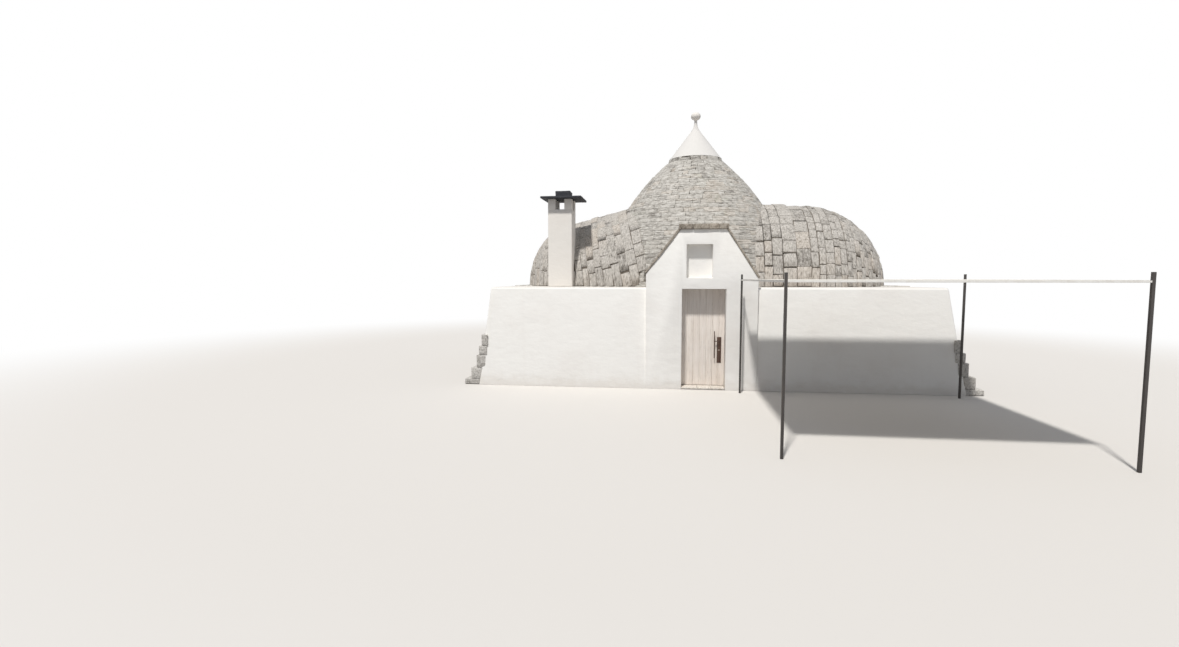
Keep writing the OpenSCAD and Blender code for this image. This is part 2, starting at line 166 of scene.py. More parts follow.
def operator(name: str, reflected: bool = False) -> Callable[["Wire", object], "Wire"]:
    """Makes an operator of Wire.

    Args:
        name: The operation's name, which both kinds of node share.
        reflected: Whether the wire is the second operand.

    Returns:
        The method, which takes another wire, a number or a vector.
    """

    def method(wire: "Wire", other: object) -> "Wire":
        """Adds the operation's node on the two operands."""
        first, second = (other, wire) if reflected else (wire, other)
        return wire.board.node(maths(wire, other), {"operation": name}, {0: first, 1: second})

    return method


class Wire:
    """An output socket that stands in sums, products and comparisons."""

    __add__ = operator("ADD")
    __radd__ = operator("ADD", reflected=True)
    __sub__ = operator("SUBTRACT")
    __rsub__ = operator("SUBTRACT", reflected=True)
    __mul__ = operator("MULTIPLY")
    __rmul__ = operator("MULTIPLY", reflected=True)
    __truediv__ = operator("DIVIDE")
    __gt__ = operator("GREATER_THAN")
    lowest = operator("MINIMUM")
    highest = operator("MAXIMUM")

    def __init__(self, board: "Board", socket: bpy.types.NodeSocket) -> None:
        """Keeps the board and the socket."""
        self.board = board
        self.socket = socket

    def dot(self, other: "Wire") -> "Wire":
        """Returns the dot product with another vector."""
        settings = {"operation": "DOT_PRODUCT"}
        return self.board.node(maths(self), settings, {0: self, 1: other}, "Value")

    def alone(self, name: str, out: int | str = 0) -> "Wire":
        """Returns an operation on this wire alone, such as FLOOR or SINE."""
        return self.board.node(maths(self), {"operation": name}, {0: self}, out)

    def length(self) -> "Wire":
        """Returns the vector's length."""
        return self.alone("LENGTH", "Value")


class Board:
    """A node tree with the few calls that the expressions need."""

    def __init__(self, tree: bpy.types.NodeTree) -> None:
        """Keeps the tree."""
        self.tree = tree

    @staticmethod
    def _find(sockets: Sequence[bpy.types.NodeSocket], key: int | str) -> bpy.types.NodeSocket:
        """Finds a socket by its place, its identifier or its name.

        Args:
            sockets: A node's inputs or outputs.
            key: The place, the identifier or the name.

        Returns:
            The socket.
        """
        if isinstance(key, int):
            return sockets[key]
        exact = [s for s in sockets if s.identifier == key]
        return exact[0] if exact else next(s for s in sockets if s.name == key and s.enabled)

    def node(
        self,
        kind: str,
        settings: dict[str, object] | None = None,
        inputs: dict[int | str, object] | None = None,
        out: int | str = 0,
    ) -> Wire:
        """Adds one node.

        Args:
            kind: The node's type.
            settings: Its properties, set first; "stops" gives a ramp's positions and colours.
            inputs: Values or wires for its sockets.
            out: The output to return.

        Returns:
            The chosen output.
        """
        made = self.tree.nodes.new(kind)
        for name, value in (settings or {}).items():
            if name == "stops":
                self._set_stops(made.color_ramp, value)
            else:
                setattr(made, name, value)
        for key, value in (inputs or {}).items():
            self._feed(self._find(made.inputs, key), value)
        return Wire(self, self._find(made.outputs, out))

    @staticmethod
    def _set_stops(ramp: bpy.types.ColorRamp, stops: Sequence[tuple[float, Colour]]) -> None:
        """Gives a ramp its stops.

        Args:
            ramp: The ramp.
            stops: The position and the colour of each stop.
        """
        while len(ramp.elements) < len(stops):
            ramp.elements.new(1.0)
        for element, (position, colour) in zip(ramp.elements, stops):
            element.position = position
            element.color = colour

    def _feed(self, socket: bpy.types.NodeSocket, value: object) -> None:
        """Links a wire to a socket or sets its value.

        Args:
            socket: The input.
            value: The wire, the number or the vector.
        """
        if isinstance(value, Wire):
            self.tree.links.new(value.socket, socket)
        elif socket.type == "VECTOR" and isinstance(value, (int, float)):
            socket.default_value = (value, value, value)
        else:
            socket.default_value = value

    def place(self) -> Wire:
        """Returns the point in object coordinates."""
        return self.node("ShaderNodeTexCoord", out="Object")

    def facing(self) -> Wire:
        """Returns the surface's normal."""
        return self.node("ShaderNodeNewGeometry", out="Normal")

    def parts(self, vector: Wire) -> tuple[Wire, Wire, Wire]:
        """Splits a vector into its three values."""
        split = self.node("ShaderNodeSeparateXYZ", inputs={0: vector}).socket.node
        return tuple(Wire(self, split.outputs[i]) for i in range(3))

    def stored(self, name: str) -> Wire:
        """Returns a value that the mesh carries under a name."""
        return self.node("ShaderNodeAttribute", {"attribute_name": name}, out="Fac")

    def cloud(self, where: Wire, scale: float, detail: float = 3.0, rough: float = 0.55) -> Wire:
        """Returns a noise value around 0.5."""
        inputs = {"Vector": where, "Scale": scale, "Detail": detail, "Roughness": rough}
        return self.node("ShaderNodeTexNoise", inputs=inputs)

    def step(self, value: Wire, low: float, high: float) -> Wire:
        """Returns a smooth rise from 0 at low to 1 at high."""
        inputs = {"Value": value, "From Min": low, "From Max": high}
        return self.node("ShaderNodeMapRange", {"interpolation_type": "SMOOTHSTEP"}, inputs)

    def blend(self, share: object, first: object, second: object, mode: str = "MIX") -> Wire:
        """Mixes two colours, with share of the second one.

        Args:
            share: How much of the second one, from 0 to 1.
            first: The first colour.
            second: The second colour.
            mode: How they are mixed.

        Returns:
            The mixed colour.
        """
        inputs = {"Factor_Float": share, "A_Color": first, "B_Color": second}
        settings = {"data_type": "RGBA", "blend_type": mode}
        return self.node("ShaderNodeMix", settings, inputs, "Result_Color")

    def end(self, shader: Wire, kind: str = "ShaderNodeOutputMaterial") -> None:
        """Links a shader to the output of the material, or of the world."""
        end = self.tree.nodes.new(kind)
        self.tree.links.new(shader.socket, end.inputs["Surface"])


# Finishes


Mixed = tuple[Wire, Wire | float, Wire]


@dataclass(frozen=True)
class Finish:
    """A material with a name; each kind of finish mixes its own tree."""

    name: str
    relief: float = 0.001

    def mix(self, board: Board) -> Mixed:
        """Mixes the finish.

        Args:
            board: The material's board.

        Returns:
            The colour, the roughness and the height, which is worth relief metres at 1.
        """
        raise NotImplementedError

    def paint(self, board: Board) -> None:
        """Builds the whole tree of the material.

        Args:
            board: The material's board.
        """
        colour, rough, height = self.mix(board)
        bump = {"Height": height, "Distance": self.relief, "Strength": 1.0}
        normal = board.node("ShaderNodeBump", inputs=bump)
        inputs = {"Base Color": colour, "Roughness": rough, "Normal": normal}
        board.end(board.node("ShaderNodeBsdfPrincipled", inputs=inputs))

    def material(self) -> bpy.types.Material:
        """Returns the material, made on first use."""
        made = bpy.data.materials.get(self.name)
        if made is None:
            made = bpy.data.materials.new(self.name)
            made.use_nodes = True
            made.node_tree.nodes.clear()
            self.paint(Board(made.node_tree))
        return made


@dataclass(frozen=True)
class Limestone(Finish):
    """Weathered dry limestone whose stones differ by the value that each one carries."""

    relief: float = 0.02
    pale: Colour = tone(222, 219, 214)
    grey: Colour = tone(196, 192, 186)
    dark: Colour = tone(142, 137, 131)
    rust: Colour = tone(180, 166, 150)
    lichen: Colour = tone(176, 177, 162)
    lichen_share: float = 0.5
    streak: Triple = (1.0, 1.0, 1.0)

    def mix(self, board: Board) -> Mixed:
        """Mixes the tones of stones, then weather, lichen, pits and grain.

        Args:
            board: The material's board.

        Returns:
            The colour, the roughness and the height.
        """
        where = board.place()
        own = board.stored("tint")
        weather = board.cloud(where * self.streak, 9.0, 6.0, 0.66)
        grain = board.cloud(where * self.streak, 26.0, 4.0, 0.65)
        patch = board.cloud(where, 0.75, 2.0)
        stops = [(0.0, self.dark), (0.34, self.grey), (0.6, self.grey), (1.0, self.pale)]
        shade = own * 0.72 + weather * 1.25 - 0.49
        colour = board.node("ShaderNodeValToRGB", {"stops": stops}, {"Fac": shade})
        warm = board.step(own + patch * 0.9, 1.0, 1.3) * 0.4
        colour = board.blend(warm, colour, self.rust)
        spots = board.step(board.cloud(where + own * 9.0, 3.1, 6.0, 0.7), 0.55, 0.72)
        growth = spots * board.step(patch, 0.42, 0.62) * self.lichen_share
        colour = board.blend(growth, colour, self.lichen)
        pits = board.step(board.cloud(where, 22.0, 5.0, 0.72), 0.4, 0.27)
        colour = board.blend(pits * 0.7, colour, self.dark)
        worn = board.step(grain, 0.50, 0.66) * 0.6
        colour = board.blend(worn, colour, self.dark, "MULTIPLY")
        bright = board.step(grain, 0.48, 0.34) * 0.75
        colour = board.blend(bright, colour, self.pale)
        height = weather * 0.8 - grain * 0.2 - pits * 0.3
        return colour, 0.84 + weather * 0.14, height


@dataclass(frozen=True)
class Bedding(Finish):
    """Dark joints and bedding outside, and limewash on the faces that look into the room."""

    relief: float = 0.012
    earth: Colour = tone(128, 119, 108)
    deep: Colour = tone(84, 77, 69)
    wash: Colour = tone(232, 227, 220)
    wash_cloud: Colour = tone(222, 214, 203)
    room_mid: Triple = (0.0, 0.0, 1.0)

    def mix(self, board: Board) -> Mixed:
        """Tells inside from outside by where a face looks.

        Args:
            board: The material's board.

        Returns:
            The colour, the roughness and the height.
        """
        where = board.place()
        crumbs = board.cloud(where, 30.0, 5.0, 0.7)
        swell = board.cloud(where, 5.0, 3.0)
        inside = board.step(board.facing().dot(where - self.room_mid), 0.02, -0.08)
        soil = board.blend(crumbs, self.deep, self.earth)
        lime = board.blend(board.step(swell, 0.35, 0.7) * 0.5, self.wash, self.wash_cloud)
        colour = board.blend(inside, soil, lime)
        return colour, 0.93, crumbs * (1.0 - inside * 0.85) + swell * 0.8


@dataclass(frozen=True)
class Limewash(Finish):
    """Hand-trowelled limewash with faint clouds, rain marks and splashes by the ground."""

    relief: float = 0.016
    wash: Colour = tone(242, 240, 236)
    cloud_tone: Colour = tone(235, 231, 226)
    splash_tone: Colour = tone(214, 206, 196)
    dust_and_shade_tone: Colour = tone(214, 209, 202)
    splash_h: float = 0.3
    rain: float = 0.2
    bare_tone: Colour = tone(128, 119, 108)
    bare_behind: float | None = None

    def mix(self, board: Board) -> Mixed:
        """Mixes the clouds, the rain marks, the splashes, and dust with painted shade on what looks
        up.

        Behind bare_behind the faces that look left or right are bare masonry.

        Args:
            board: The material's board.

        Returns:
            The colour, the roughness and the height.
        """
        where = board.place()
        broad = board.cloud(where, 0.9, 4.0, 0.6)
        trowel = board.cloud(where * (1.0, 1.0, 1.7), 4.2, 4.0, 0.55)
        grit = board.cloud(where, 85.0, 2.0)
        colour = board.blend(board.step(broad, 0.44, 0.72) * 0.6, self.wash, self.cloud_tone)
        streak = board.cloud(where * (5.0, 5.0, 0.45), 1.4, 4.0, 0.65)
        colour = board.blend(board.step(streak, 0.52, 0.74) * self.rain, colour, self.cloud_tone)
        edge = board.parts(where)[2] + (trowel - 0.5) * 0.5
        foot = board.step(edge, self.splash_h, 0.0)
        colour = board.blend(foot * 0.4, colour, self.splash_tone)
        worn = board.step(board.cloud(where, 13.0, 5.0, 0.7), 0.66, 0.76)
        colour = board.blend(worn * 0.12, colour, self.splash_tone)
        # Faces that look up are greyer: dust, and painted shade that tempers the strong light on
        # the tops.
        level = board.step(board.parts(board.facing())[2], 0.55, 0.95)
        colour = board.blend(level * 0.85, colour, self.dust_and_shade_tone)
        if self.bare_behind is not None:
            across = board.parts(board.facing())[0]
            end = board.step(across * across, 0.6, 0.8)
            back = board.parts(where)[1] > self.bare_behind
            colour = board.blend(end * back, colour, self.bare_tone)
        height = broad * 0.9 + trowel * 0.5 + grit * 0.03 - worn * 0.02
        return colour, 0.88 + trowel * 0.1, height


@dataclass(frozen=True)
class Slate(Finish):
    """Dark split stone with faint layers and dusty edges."""

    relief: float = 0.006
    body: Colour = tone(41, 43, 50)
    dust: Colour = tone(98, 99, 101)

    def mix(self, board: Board) -> Mixed:
        """Mixes the dust into the layers.

        Args:
            board: The material's board.

        Returns:
            The colour, the roughness and the height.
        """
        where = board.place()
        layers = board.cloud(where * (2.0, 2.0, 40.0), 3.0, 4.0, 0.6)
        mottle = board.cloud(where, 14.0, 5.0, 0.65)
        dusty = board.step(mottle + layers * 0.3, 0.62, 0.95)
        colour = board.blend(dusty * 0.6, self.body, self.dust)
        return colour, 0.62 + mottle * 0.3, layers * 0.5 + mottle


@dataclass(frozen=True)
class LimedWood(Finish):
    """Brushed boards whose grain holds a little lime."""

    relief: float = 0.004
    grain: Grain = Grain.UPRIGHT
    lime: Colour = tone(244, 237, 230)
    wood: Colour = tone(230, 220, 211)
    pore: Colour = tone(180, 167, 155)

    def mix(self, board: Board) -> Mixed:
        """Draws streaks, pores and the boards' own tones.

        Args:
            board: The material's board.

        Returns:
            The colour, the roughness and the height.
        """
        where = board.place()
        own = board.stored("tint")
        drawn = where * self.grain.value + own * 17.0
        streak = board.cloud(drawn, 1.0, 5.0, 0.62)
        fine = board.cloud(drawn, 4.6, 3.0, 0.6)
        blotch = board.cloud(where, 2.3, 3.0)
        share = streak * 0.85 + blotch * 0.4 + own * 0.22
        colour = board.blend(board.step(share, 0.55, 1.0), self.wood, self.lime)
        pores = board.step(fine, 0.42, 0.3) * board.step(streak, 0.62, 0.4)
        colour = board.blend(pores * 0.6, colour, self.pore)
        height = streak * 0.5 + fine * 0.35 - pores * 0.5
        return colour, 0.66 + streak * 0.22, height


@dataclass(frozen=True)
class Paint(Finish):
    """Weathered paint on metal with dull patches and small chips."""

    relief: float = 0.0012
    coat: Colour = tone(62, 58, 56)
    dull: Colour = tone(74, 69, 66)
    chip: Colour = tone(94, 83, 75)
    base_rough: float = 0.42
    chips: float = 0.5

    def mix(self, board: Board) -> Mixed:
        """Mixes dull patches and chips into the coat.

        Args:
            board: The material's board.

        Returns:
            The colour, the roughness and the height.
        """
        where = board.place()
        patch = board.cloud(where * (6.0, 6.0, 1.1), 2.0, 4.0, 0.6)
        speck = board.cloud(where, 70.0, 4.0, 0.65)
        colour = board.blend(board.step(patch, 0.4, 0.7), self.coat, self.dull)
        bare = board.step(speck, 0.64, 0.7) * board.step(patch, 0.45, 0.6) * self.chips
        colour = board.blend(bare, colour, self.chip)
        rough = patch * 0.25 + bare * 0.3 + self.base_rough
        return colour, rough, speck * 0.4 - bare * 0.5


@dataclass(frozen=True)
class Canvas(Finish):
    """Plain woven sailcloth with a doubled hem; it follows the cloth's own UV map, in metres."""

    relief: float = 0.0012
    yarn: Colour = tone(226, 222, 214)
    shade: Colour = tone(208, 203, 193)
    threads: float = 420.0
    flat: Span = (4.2, 4.03)
    hem: float = 0.06

    def mix(self, board: Board) -> Mixed:
        """Weaves the threads and marks the hem's seam.

        Args:
            board: The material's board.

        Returns:
            The colour, the roughness and the height.
        """
        across, along, _ = board.parts(board.node("ShaderNodeUVMap"))
        warp, weft = ((side * self.threads).alone("SINE") for side in (across, along))
        weave = warp * weft * 0.5 + 0.5
        sides = zip(self.flat, (across, along))
        near, beside = (size / 2.0 - side.alone("ABSOLUTE") for size, side in sides)
        edge = near.lowest(beside)
        band = board.step(edge, self.hem + 0.003, self.hem - 0.003)
        seam = band * board.step(edge, self.hem - 0.012, self.hem - 0.006)
        soil = board.cloud(board.place(), 1.1, 5.0, 0.65)
        colour = board.blend(weave * 0.5, self.yarn, self.shade)
        colour = board.blend(board.step(soil, 0.45, 0.75) * 0.35, colour, self.shade)
        colour = board.blend(band * 0.25 + seam * 0.4, colour, self.shade)
        return colour, 0.85 + soil * 0.1, weave * 0.25 + band - seam


@dataclass(frozen=True)
class StudioFloor(Finish):
    """Pale studio floor that keeps shadows near the object and fades to the white backdrop."""

    pale: Colour = tone(213, 209, 204)
    bounce: Colour = tone(148, 145, 142)
    clear_from: float = 11.0
    clear_to: float = 22.0

    def paint(self, board: Board) -> None:
        """Fades the far floor to white for what the camera and glossy surfaces see.

        Args:
            board: The material's board.
        """
        seen = seen_straight(board)
        colour = board.blend(seen, self.bounce, self.pale)
        inputs = {"Base Color": colour, "Roughness": 0.9}
        floor = board.node("ShaderNodeBsdfPrincipled", inputs=inputs)
        light = board.node("ShaderNodeEmission", inputs={"Color": WHITE})
        far = board.step(board.place().length(), self.clear_from, self.clear_to)
        inputs = {0: far * seen, 1: floor, 2: light}
        board.end(board.node("ShaderNodeMixShader", inputs=inputs))


def seen_straight(board: Board) -> Wire:
    """Returns 1 for what the camera, a reflection or a clear body sees, and 0 for plain light.

    Args:
        board: The board of a material or of the world.

    Returns:
        The share.
    """
    path = board.node("ShaderNodeLightPath").socket.node
    names = ("Is Camera Ray", "Is Glossy Ray", "Is Transmission Ray")
    first, second, third = (Wire(board, path.outputs[name]) for name in names)
    return first.highest(second).highest(third)


DRY_STONE = Limestone("dry limestone")
ROOF_STONE = Limestone(
    "roof limestone", pale=tone(216, 213, 207), grey=tone(187, 183, 176),
    dark=tone(136, 131, 125), lichen_share=0.6, streak=(0.35, 0.35, 1.2),
)
# Browner, darker stone for the verges; part of that darkness is painted shade of their shaded sides
# and undersides.
VERGE_STONE_WITH_SHADE = Limestone(
    "verge limestone with painted shade", pale=tone(190, 181, 169), grey=tone(166, 157, 145),
    dark=tone(122, 113, 103), lichen_share=0.3,
)
VAULT_STONE = Limestone(
    "vault limestone", pale=tone(210, 205, 199), grey=tone(182, 177, 170),
    dark=tone(122, 117, 111), lichen_share=0.3, streak=(1.3, 1.3, 0.4),
)
PAVING = Limestone(
    "worn paving", pale=tone(228, 222, 214), grey=tone(216, 209, 200), dark=tone(190, 182, 171),
    lichen_share=0.0,
)
JOINTS = Bedding("joints and bedding")
# Painted light: the gable's wash is brighter than the walls' wash, so that its upright face, which
# catches less sun than the leaning walls, renders as bright as they do.
BRIGHTENED_GABLE_WASH = Limewash("limewashed gable with painted light", wash=tone(247, 245, 241))
FRONT_WASH = Limewash("limewashed front wall", bare_behind=-2.9)
# Painted shade: the cap's wash is darker than the walls' wash, so that its upward-looking slope,
# which catches the most sun, does not render too bright.
DARKENED_CAP_WASH = Limewash(
    "limewashed cap with painted shade", wash=tone(223, 223, 223), cloud_tone=tone(218, 218, 217),
    dust_and_shade_tone=tone(213, 212, 210), splash_h=-1.0, rain=0.3,
)
SHAFT_WASH = Limewash("limewashed chimney", wash=tone(246, 244, 240), splash_h=-1.0)
SLATE = Slate("dark slate")
DOOR_WOOD = LimedWood("limed door boards")
LEDGE_WOOD = LimedWood("limed ledges", grain=Grain.LEVEL)
BRONZE_PAINT = Paint(
    "dark bronze paint", coat=tone(66, 46, 38), dull=tone(84, 62, 50), chip=tone(112, 82, 62)
)
POST_PAINT = Paint("dark post paint")
RAIL_PAINT = Paint(
    "white rail paint", coat=tone(240, 238, 233), dull=tone(230, 226, 219),
    chip=tone(160, 128, 100), chips=0.3,
)
SAILCLOTH = Canvas("woven sailcloth")
KEY_METAL = Paint(
    "worn keyhole metal", coat=tone(196, 186, 172), dull=tone(168, 156, 140),
    chip=tone(120, 104, 88), base_rough=0.3,
)
STUDIO = StudioFloor("studio floor")


# The house's plan


@dataclass(frozen=True)
class Plan:
    """The main sizes that the stones are laid by."""

    wall_h: float = 2.13
    front_y: float = -3.10
    recess_y: float = -2.79
    rear_y: float = 3.10
    wall_left: float = -4.76
    wall_right: float = 5.23
    lean_left: float = 0.26
    lean_right: float = 0.37
    batter: float = 0.12
    room_r: float = 1.858
    foot_r: float = 2.45
    top_r: float = 0.575
    cone_h: float = 3.18
    bulge: float = 0.34
    courses: int = 30
    gable_left: float = -1.12
    gable_right: float = 1.17
    gable_top_left: float = -0.41
    gable_top_right: float = 0.52
    gable_eave_left: float = 2.42
    gable_eave_right: float = 2.32
    gable_h: float = 3.33
    coping_t: float = 0.07

    @property
    def course_h(self) -> float:
        """Returns the height of one course."""
        return self.cone_h / self.courses

    def arc(self) -> Triple:
        """Returns the cone's bowed side: its arc's radius, and the arc's middle out and up."""
        inward = self.foot_r - self.top_r
        chord = math.hypot(inward, self.cone_h)
        radius = chord**2 / (8.0 * self.bulge) + self.bulge / 2.0
        back = (radius - self.bulge) / chord
        out = (self.foot_r + self.top_r) / 2.0 - back * self.cone_h
        return radius, out, self.wall_h + self.cone_h / 2.0 - back * inward

    def cone_r(self, z: float) -> float:
        """Returns the cone's radius at a height over the ground."""
        radius, out, up = self.arc()
        return out + math.sqrt(max(radius**2 - (z - up) ** 2, 0.0))

    def cone_lean(self, z: float) -> float:
        """Returns how much the cone's side looks up at a height, as rise over run."""
        return (z - self.arc()[2]) / (self.cone_r(z) - self.arc()[1])

    def course_r(self, index: int) -> float:
        """Returns the radius of one course of the cone."""
        return self.cone_r(self.wall_h + (index + 0.5) * self.course_h)

    def wall_x(self, side: int, z: float) -> float:
        """Finds where the face of a side wall is.

        Args:
            side: The left (-1) or the right (1) wall.
            z: The height.

        Returns:
            The face's X.
        """
        if side < 0:
            return self.wall_left + self.lean_left * z / self.wall_h
        return self.wall_right - self.lean_right * z / self.wall_h

    def under_gable(self, place: Vector, spare: float) -> bool:
        """Tells whether a point of the cone lies well inside the gable's roof.

        Args:
            place: The point.
            spare: How deep inside it has to lie.

        Returns:
            True if the gable's roof hides it.
        """
        if place.y > 0 or not self.gable_left < place.x < self.gable_right:
            return False
        left = (place.x - self.gable_left) / (self.gable_top_left - self.gable_left)
        right = (self.gable_right - place.x) / (self.gable_right - self.gable_top_right)
        low = min(
            self.gable_eave_left + left * (self.gable_h - self.gable_eave_left),
            self.gable_eave_right + right * (self.gable_h - self.gable_eave_right),
            self.gable_h,
        )
        return place.z < low + self.coping_t - spare


PLAN = Plan()


@dataclass(frozen=True)
class Stone:
    """One stone: its middle, its sizes along, deep and high, its turn and its tone."""

    place: Vector
    size: Triple
    turn: Euler
    tint: float


class StoneTree:
    """The node tree that turns laid points into rounded, rough stones."""

    # How many edge radii inside the block's faces the next ring of points lies
    NEXT_RING = 1.4
    # How far apart the stones' places in the noise are, for the taper and for the wobble
    TAPER_SPREAD = 7.3
    WOBBLE_SPREAD = 11.0
    INPUTS = {
        "Stones": "Geometry", "Divisions": "Int", "Edge radius": "Float", "Wobble": "Float",
        "Wobble scale": "Float", "Taper": "Float", "Finish": "Material",
    }

    def __init__(self) -> None:
        """Builds the tree."""
        self.tree = bpy.data.node_groups.new("laid stones", "GeometryNodeTree")
        sockets = self.tree.interface
        self.names: dict[str, str] = {}
        for name, kind in self.INPUTS.items():
            item = sockets.new_socket(name=name, in_out="INPUT", socket_type=f"NodeSocket{kind}")
            self.names[name] = item.identifier
        sockets.new_socket(name="Stones", in_out="OUTPUT", socket_type="NodeSocketGeometry")
        board = Board(self.tree)
        group = board.node("NodeGroupInput").socket.node
        self.given = {name: Wire(board, group.outputs[name]) for name in self.INPUTS}
        shaped = self._shaped(board, self._blocks(board))
        end = self.tree.nodes.new("NodeGroupOutput")
        self.tree.links.new(shaped.socket, end.inputs[0])

    def _blocks(self, board: Board) -> Wire:
        """Sets one divided block on each point.

        Args:
            board: The tree's board.

        Returns:
            The blocks as one mesh, each with its own coordinates stored as local.
        """
        divisions = self.given["Divisions"]
        inputs = {"Size": 1.0, 1: divisions, 2: divisions, 3: divisions}
        block = board.node("GeometryNodeMeshCube", inputs=inputs)
        local = board.node("GeometryNodeInputPosition")
        inputs = {"Geometry": block, "Name": "local", "Value": local}
        block = board.node("GeometryNodeStoreNamedAttribute", {"data_type": "FLOAT_VECTOR"}, inputs)
        inputs = {"Points": self.given["Stones"], "Instance": block}
        laid = board.node("GeometryNodeInstanceOnPoints", inputs=inputs)
        return board.node("GeometryNodeRealizeInstances", inputs={"Geometry": laid})

    def _shaped(self, board: Board, blocks: Wire) -> Wire:
        """Gives each block its sizes, rounded edges, uneven faces, turn and place.

        Args:
            board: The tree's board.
            blocks: The realized blocks.

        Returns:
            The finished stones.
        """

        def carried(name: str) -> Wire:
            """Returns a vector that the stones carry."""
            settings = {"data_type": "FLOAT_VECTOR"}
            return board.node("GeometryNodeInputNamedAttribute", settings, {"Name": name})

        radius = self.given["Edge radius"]
        divisions = self.given["Divisions"]
        local = carried("local")
        place = carried("place")
        half = carried("size") * 0.5
        reach = local.alone("ABSOLUTE") * 2.0
        outer = (reach + 0.001).alone("FLOOR")
        ring = (divisions - 3.0) / (divisions - 1.0)
        inner = reach / ring * (half - radius * self.NEXT_RING)
        point = local.alone("SIGN") * (outer * half + (1.0 - outer) * inner)
        odd = board.cloud(place * self.TAPER_SPREAD, 1.0, 1.0) - 0.5
        point = point * (1.0 + board.parts(local)[2] * odd * self.given["Taper"])
        limit = half - radius
        core = point.lowest(limit).highest(limit * -1.0)
        out = point - core
        point = core + out.alone("NORMALIZE") * out.length().lowest(radius)
        where = point * self.given["Wobble scale"] + place * self.WOBBLE_SPREAD
        inputs = {"Vector": where, "Scale": 1.0, "Detail": 1.0}
        wander = board.node("ShaderNodeTexNoise", inputs=inputs, out="Color")
        point = point + (wander - 0.5) * self.given["Wobble"]
        inputs = {"Vector": point, "Rotation": carried("turn")}
        point = board.node("ShaderNodeVectorRotate", {"rotation_type": "EULER_XYZ"}, inputs)
        inputs = {"Geometry": blocks, "Position": point + place}
        made = board.node("GeometryNodeSetPosition", inputs=inputs)
        for name in ("local", "size", "turn", "place"):
            inputs = {"Geometry": made, "Name": name}
            made = board.node("GeometryNodeRemoveAttribute", inputs=inputs)
        inputs = {"Geometry": made, "Material": self.given["Finish"]}
        return board.node("GeometryNodeSetMaterial", inputs=inputs)


@dataclass
class Masonry:
    """A piece of many stones: they are laid one by one, then built by the node tree.

    A stone's tone is drawn by chance, spread by tint_spread, and shifted by a slow noise.
    """

    name: str
    finish: Finish
    seed: int
    slot: Slot = Slot.STONE
    divisions: int = 4
    edge: float = 0.012
    wobble: float = 0.02
    wobble_scale: float = 5.0
    taper: float = 0.0
    replaces: tuple[str, ...] = ()
    tint_spread: float = 0.22
    patch_scale: float = 0.7
    patch_share: float = 0.35
    stones: list[Stone] = field(default_factory=list)

    def __post_init__(self) -> None:
        """Starts the piece's own run of random numbers."""
        self.rng = random.Random(self.seed)

    def lay(
        self,
        face: Vector,
        outward: Vector,
        upward: Vector,
        size: Triple,
        spin: float = 0.0,
        tint: float | None = None,
    ) -> None:
        """Lays one stone with its outer face at a point.

        Args:
            face: The middle of the stone's outer face.
            outward: Where that face looks.
            upward: Roughly where the stone's height runs.
            size: Its sizes along the face, into the wall and up the face.
            spin: A turn of the face in its own plane, in radians.
            tint: The stone's tone from 0 to 1, or None for one drawn by chance and place.
        """
        inward = -outward.normalized()
        along = inward.cross(upward).normalized()
        high = along.cross(inward)
        basis = Matrix((along, inward, high)).transposed()
        basis = Matrix.Rotation(spin, 3, inward) @ basis
        if tint is None:
            patch = noise.noise(face * self.patch_scale + Vector((self.seed, 0.0, 0.0)))
            drawn = self.rng.gauss(0.5, self.tint_spread) + patch * self.patch_share
            tint = min(max(drawn, 0.0), 1.0)
        middle = face + inward * (size[1] / 2.0)
        self.stones.append(Stone(middle, size, basis.to_euler("XYZ"), tint))

    def build(self, tree: StoneTree) -> None:
        """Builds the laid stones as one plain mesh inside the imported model's box.

        Args:
            tree: The tree that shapes the stones.
        """
        mesh = bpy.data.meshes.new(self.name + "_points")
        mesh.from_pydata([stone.place for stone in self.stones], [], [])
        for name in ("size", "turn", "place"):
            data = mesh.attributes.new(name, "FLOAT_VECTOR", "POINT").data
            data.foreach_set("vector", [v for stone in self.stones for v in getattr(stone, name)])
        tints = mesh.attributes.new("tint", "FLOAT", "POINT").data
        tints.foreach_set("value", [stone.tint for stone in self.stones])
        source = bpy.data.objects.new(self.name + "_points", mesh)
        bpy.context.scene.collection.objects.link(source)
        modifier = source.modifiers.new("stones", "NODES")
        modifier.node_group = tree.tree
        settings = {
            "Divisions": self.divisions, "Edge radius": self.edge, "Wobble": self.wobble,
            "Wobble scale": self.wobble_scale, "Taper": self.taper,
            "Finish": self.finish.material(),
        }
        for name, value in settings.items():
            modifier[tree.names[name]] = value
        graph = bpy.context.evaluated_depsgraph_get()
        made = bpy.data.meshes.new_from_object(
            source.evaluated_get(graph), preserve_all_data_layers=True, depsgraph=graph
        )
        source.modifiers.clear()
        bpy.data.objects.remove(source)
        made.name = self.name
        made.materials.clear()
        made.materials.append(self.finish.material())
        made.polygons.foreach_set("material_index", [0] * len(made.polygons))
        keep_inside(made)
        made.shade_smooth()
        piece = bpy.data.objects.new(self.name, made)
        settle(piece, Body.HOUSE, self.slot, self.replaces)


# Helpers of the pieces


class Limits:
    """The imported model's box, measured once it is loaded, which no stone may leave."""

    low: Vector
    high: Vector
    spare = 0.0006

    @classmethod
    def take(cls) -> Pair:
        """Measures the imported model's box and returns it."""
        cls.low, cls.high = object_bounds()
        return cls.low, cls.high


def keep_inside(mesh: bpy.types.Mesh) -> None:
    """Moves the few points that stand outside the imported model's box back onto it.

    Args:
        mesh: The mesh, whose points are moved.
    """
    for vertex in mesh.vertices:
        for axis in range(3):
            low = Limits.low[axis] + Limits.spare
            high = Limits.high[axis] - Limits.spare
            vertex.co[axis] = min(max(vertex.co[axis], low), high)


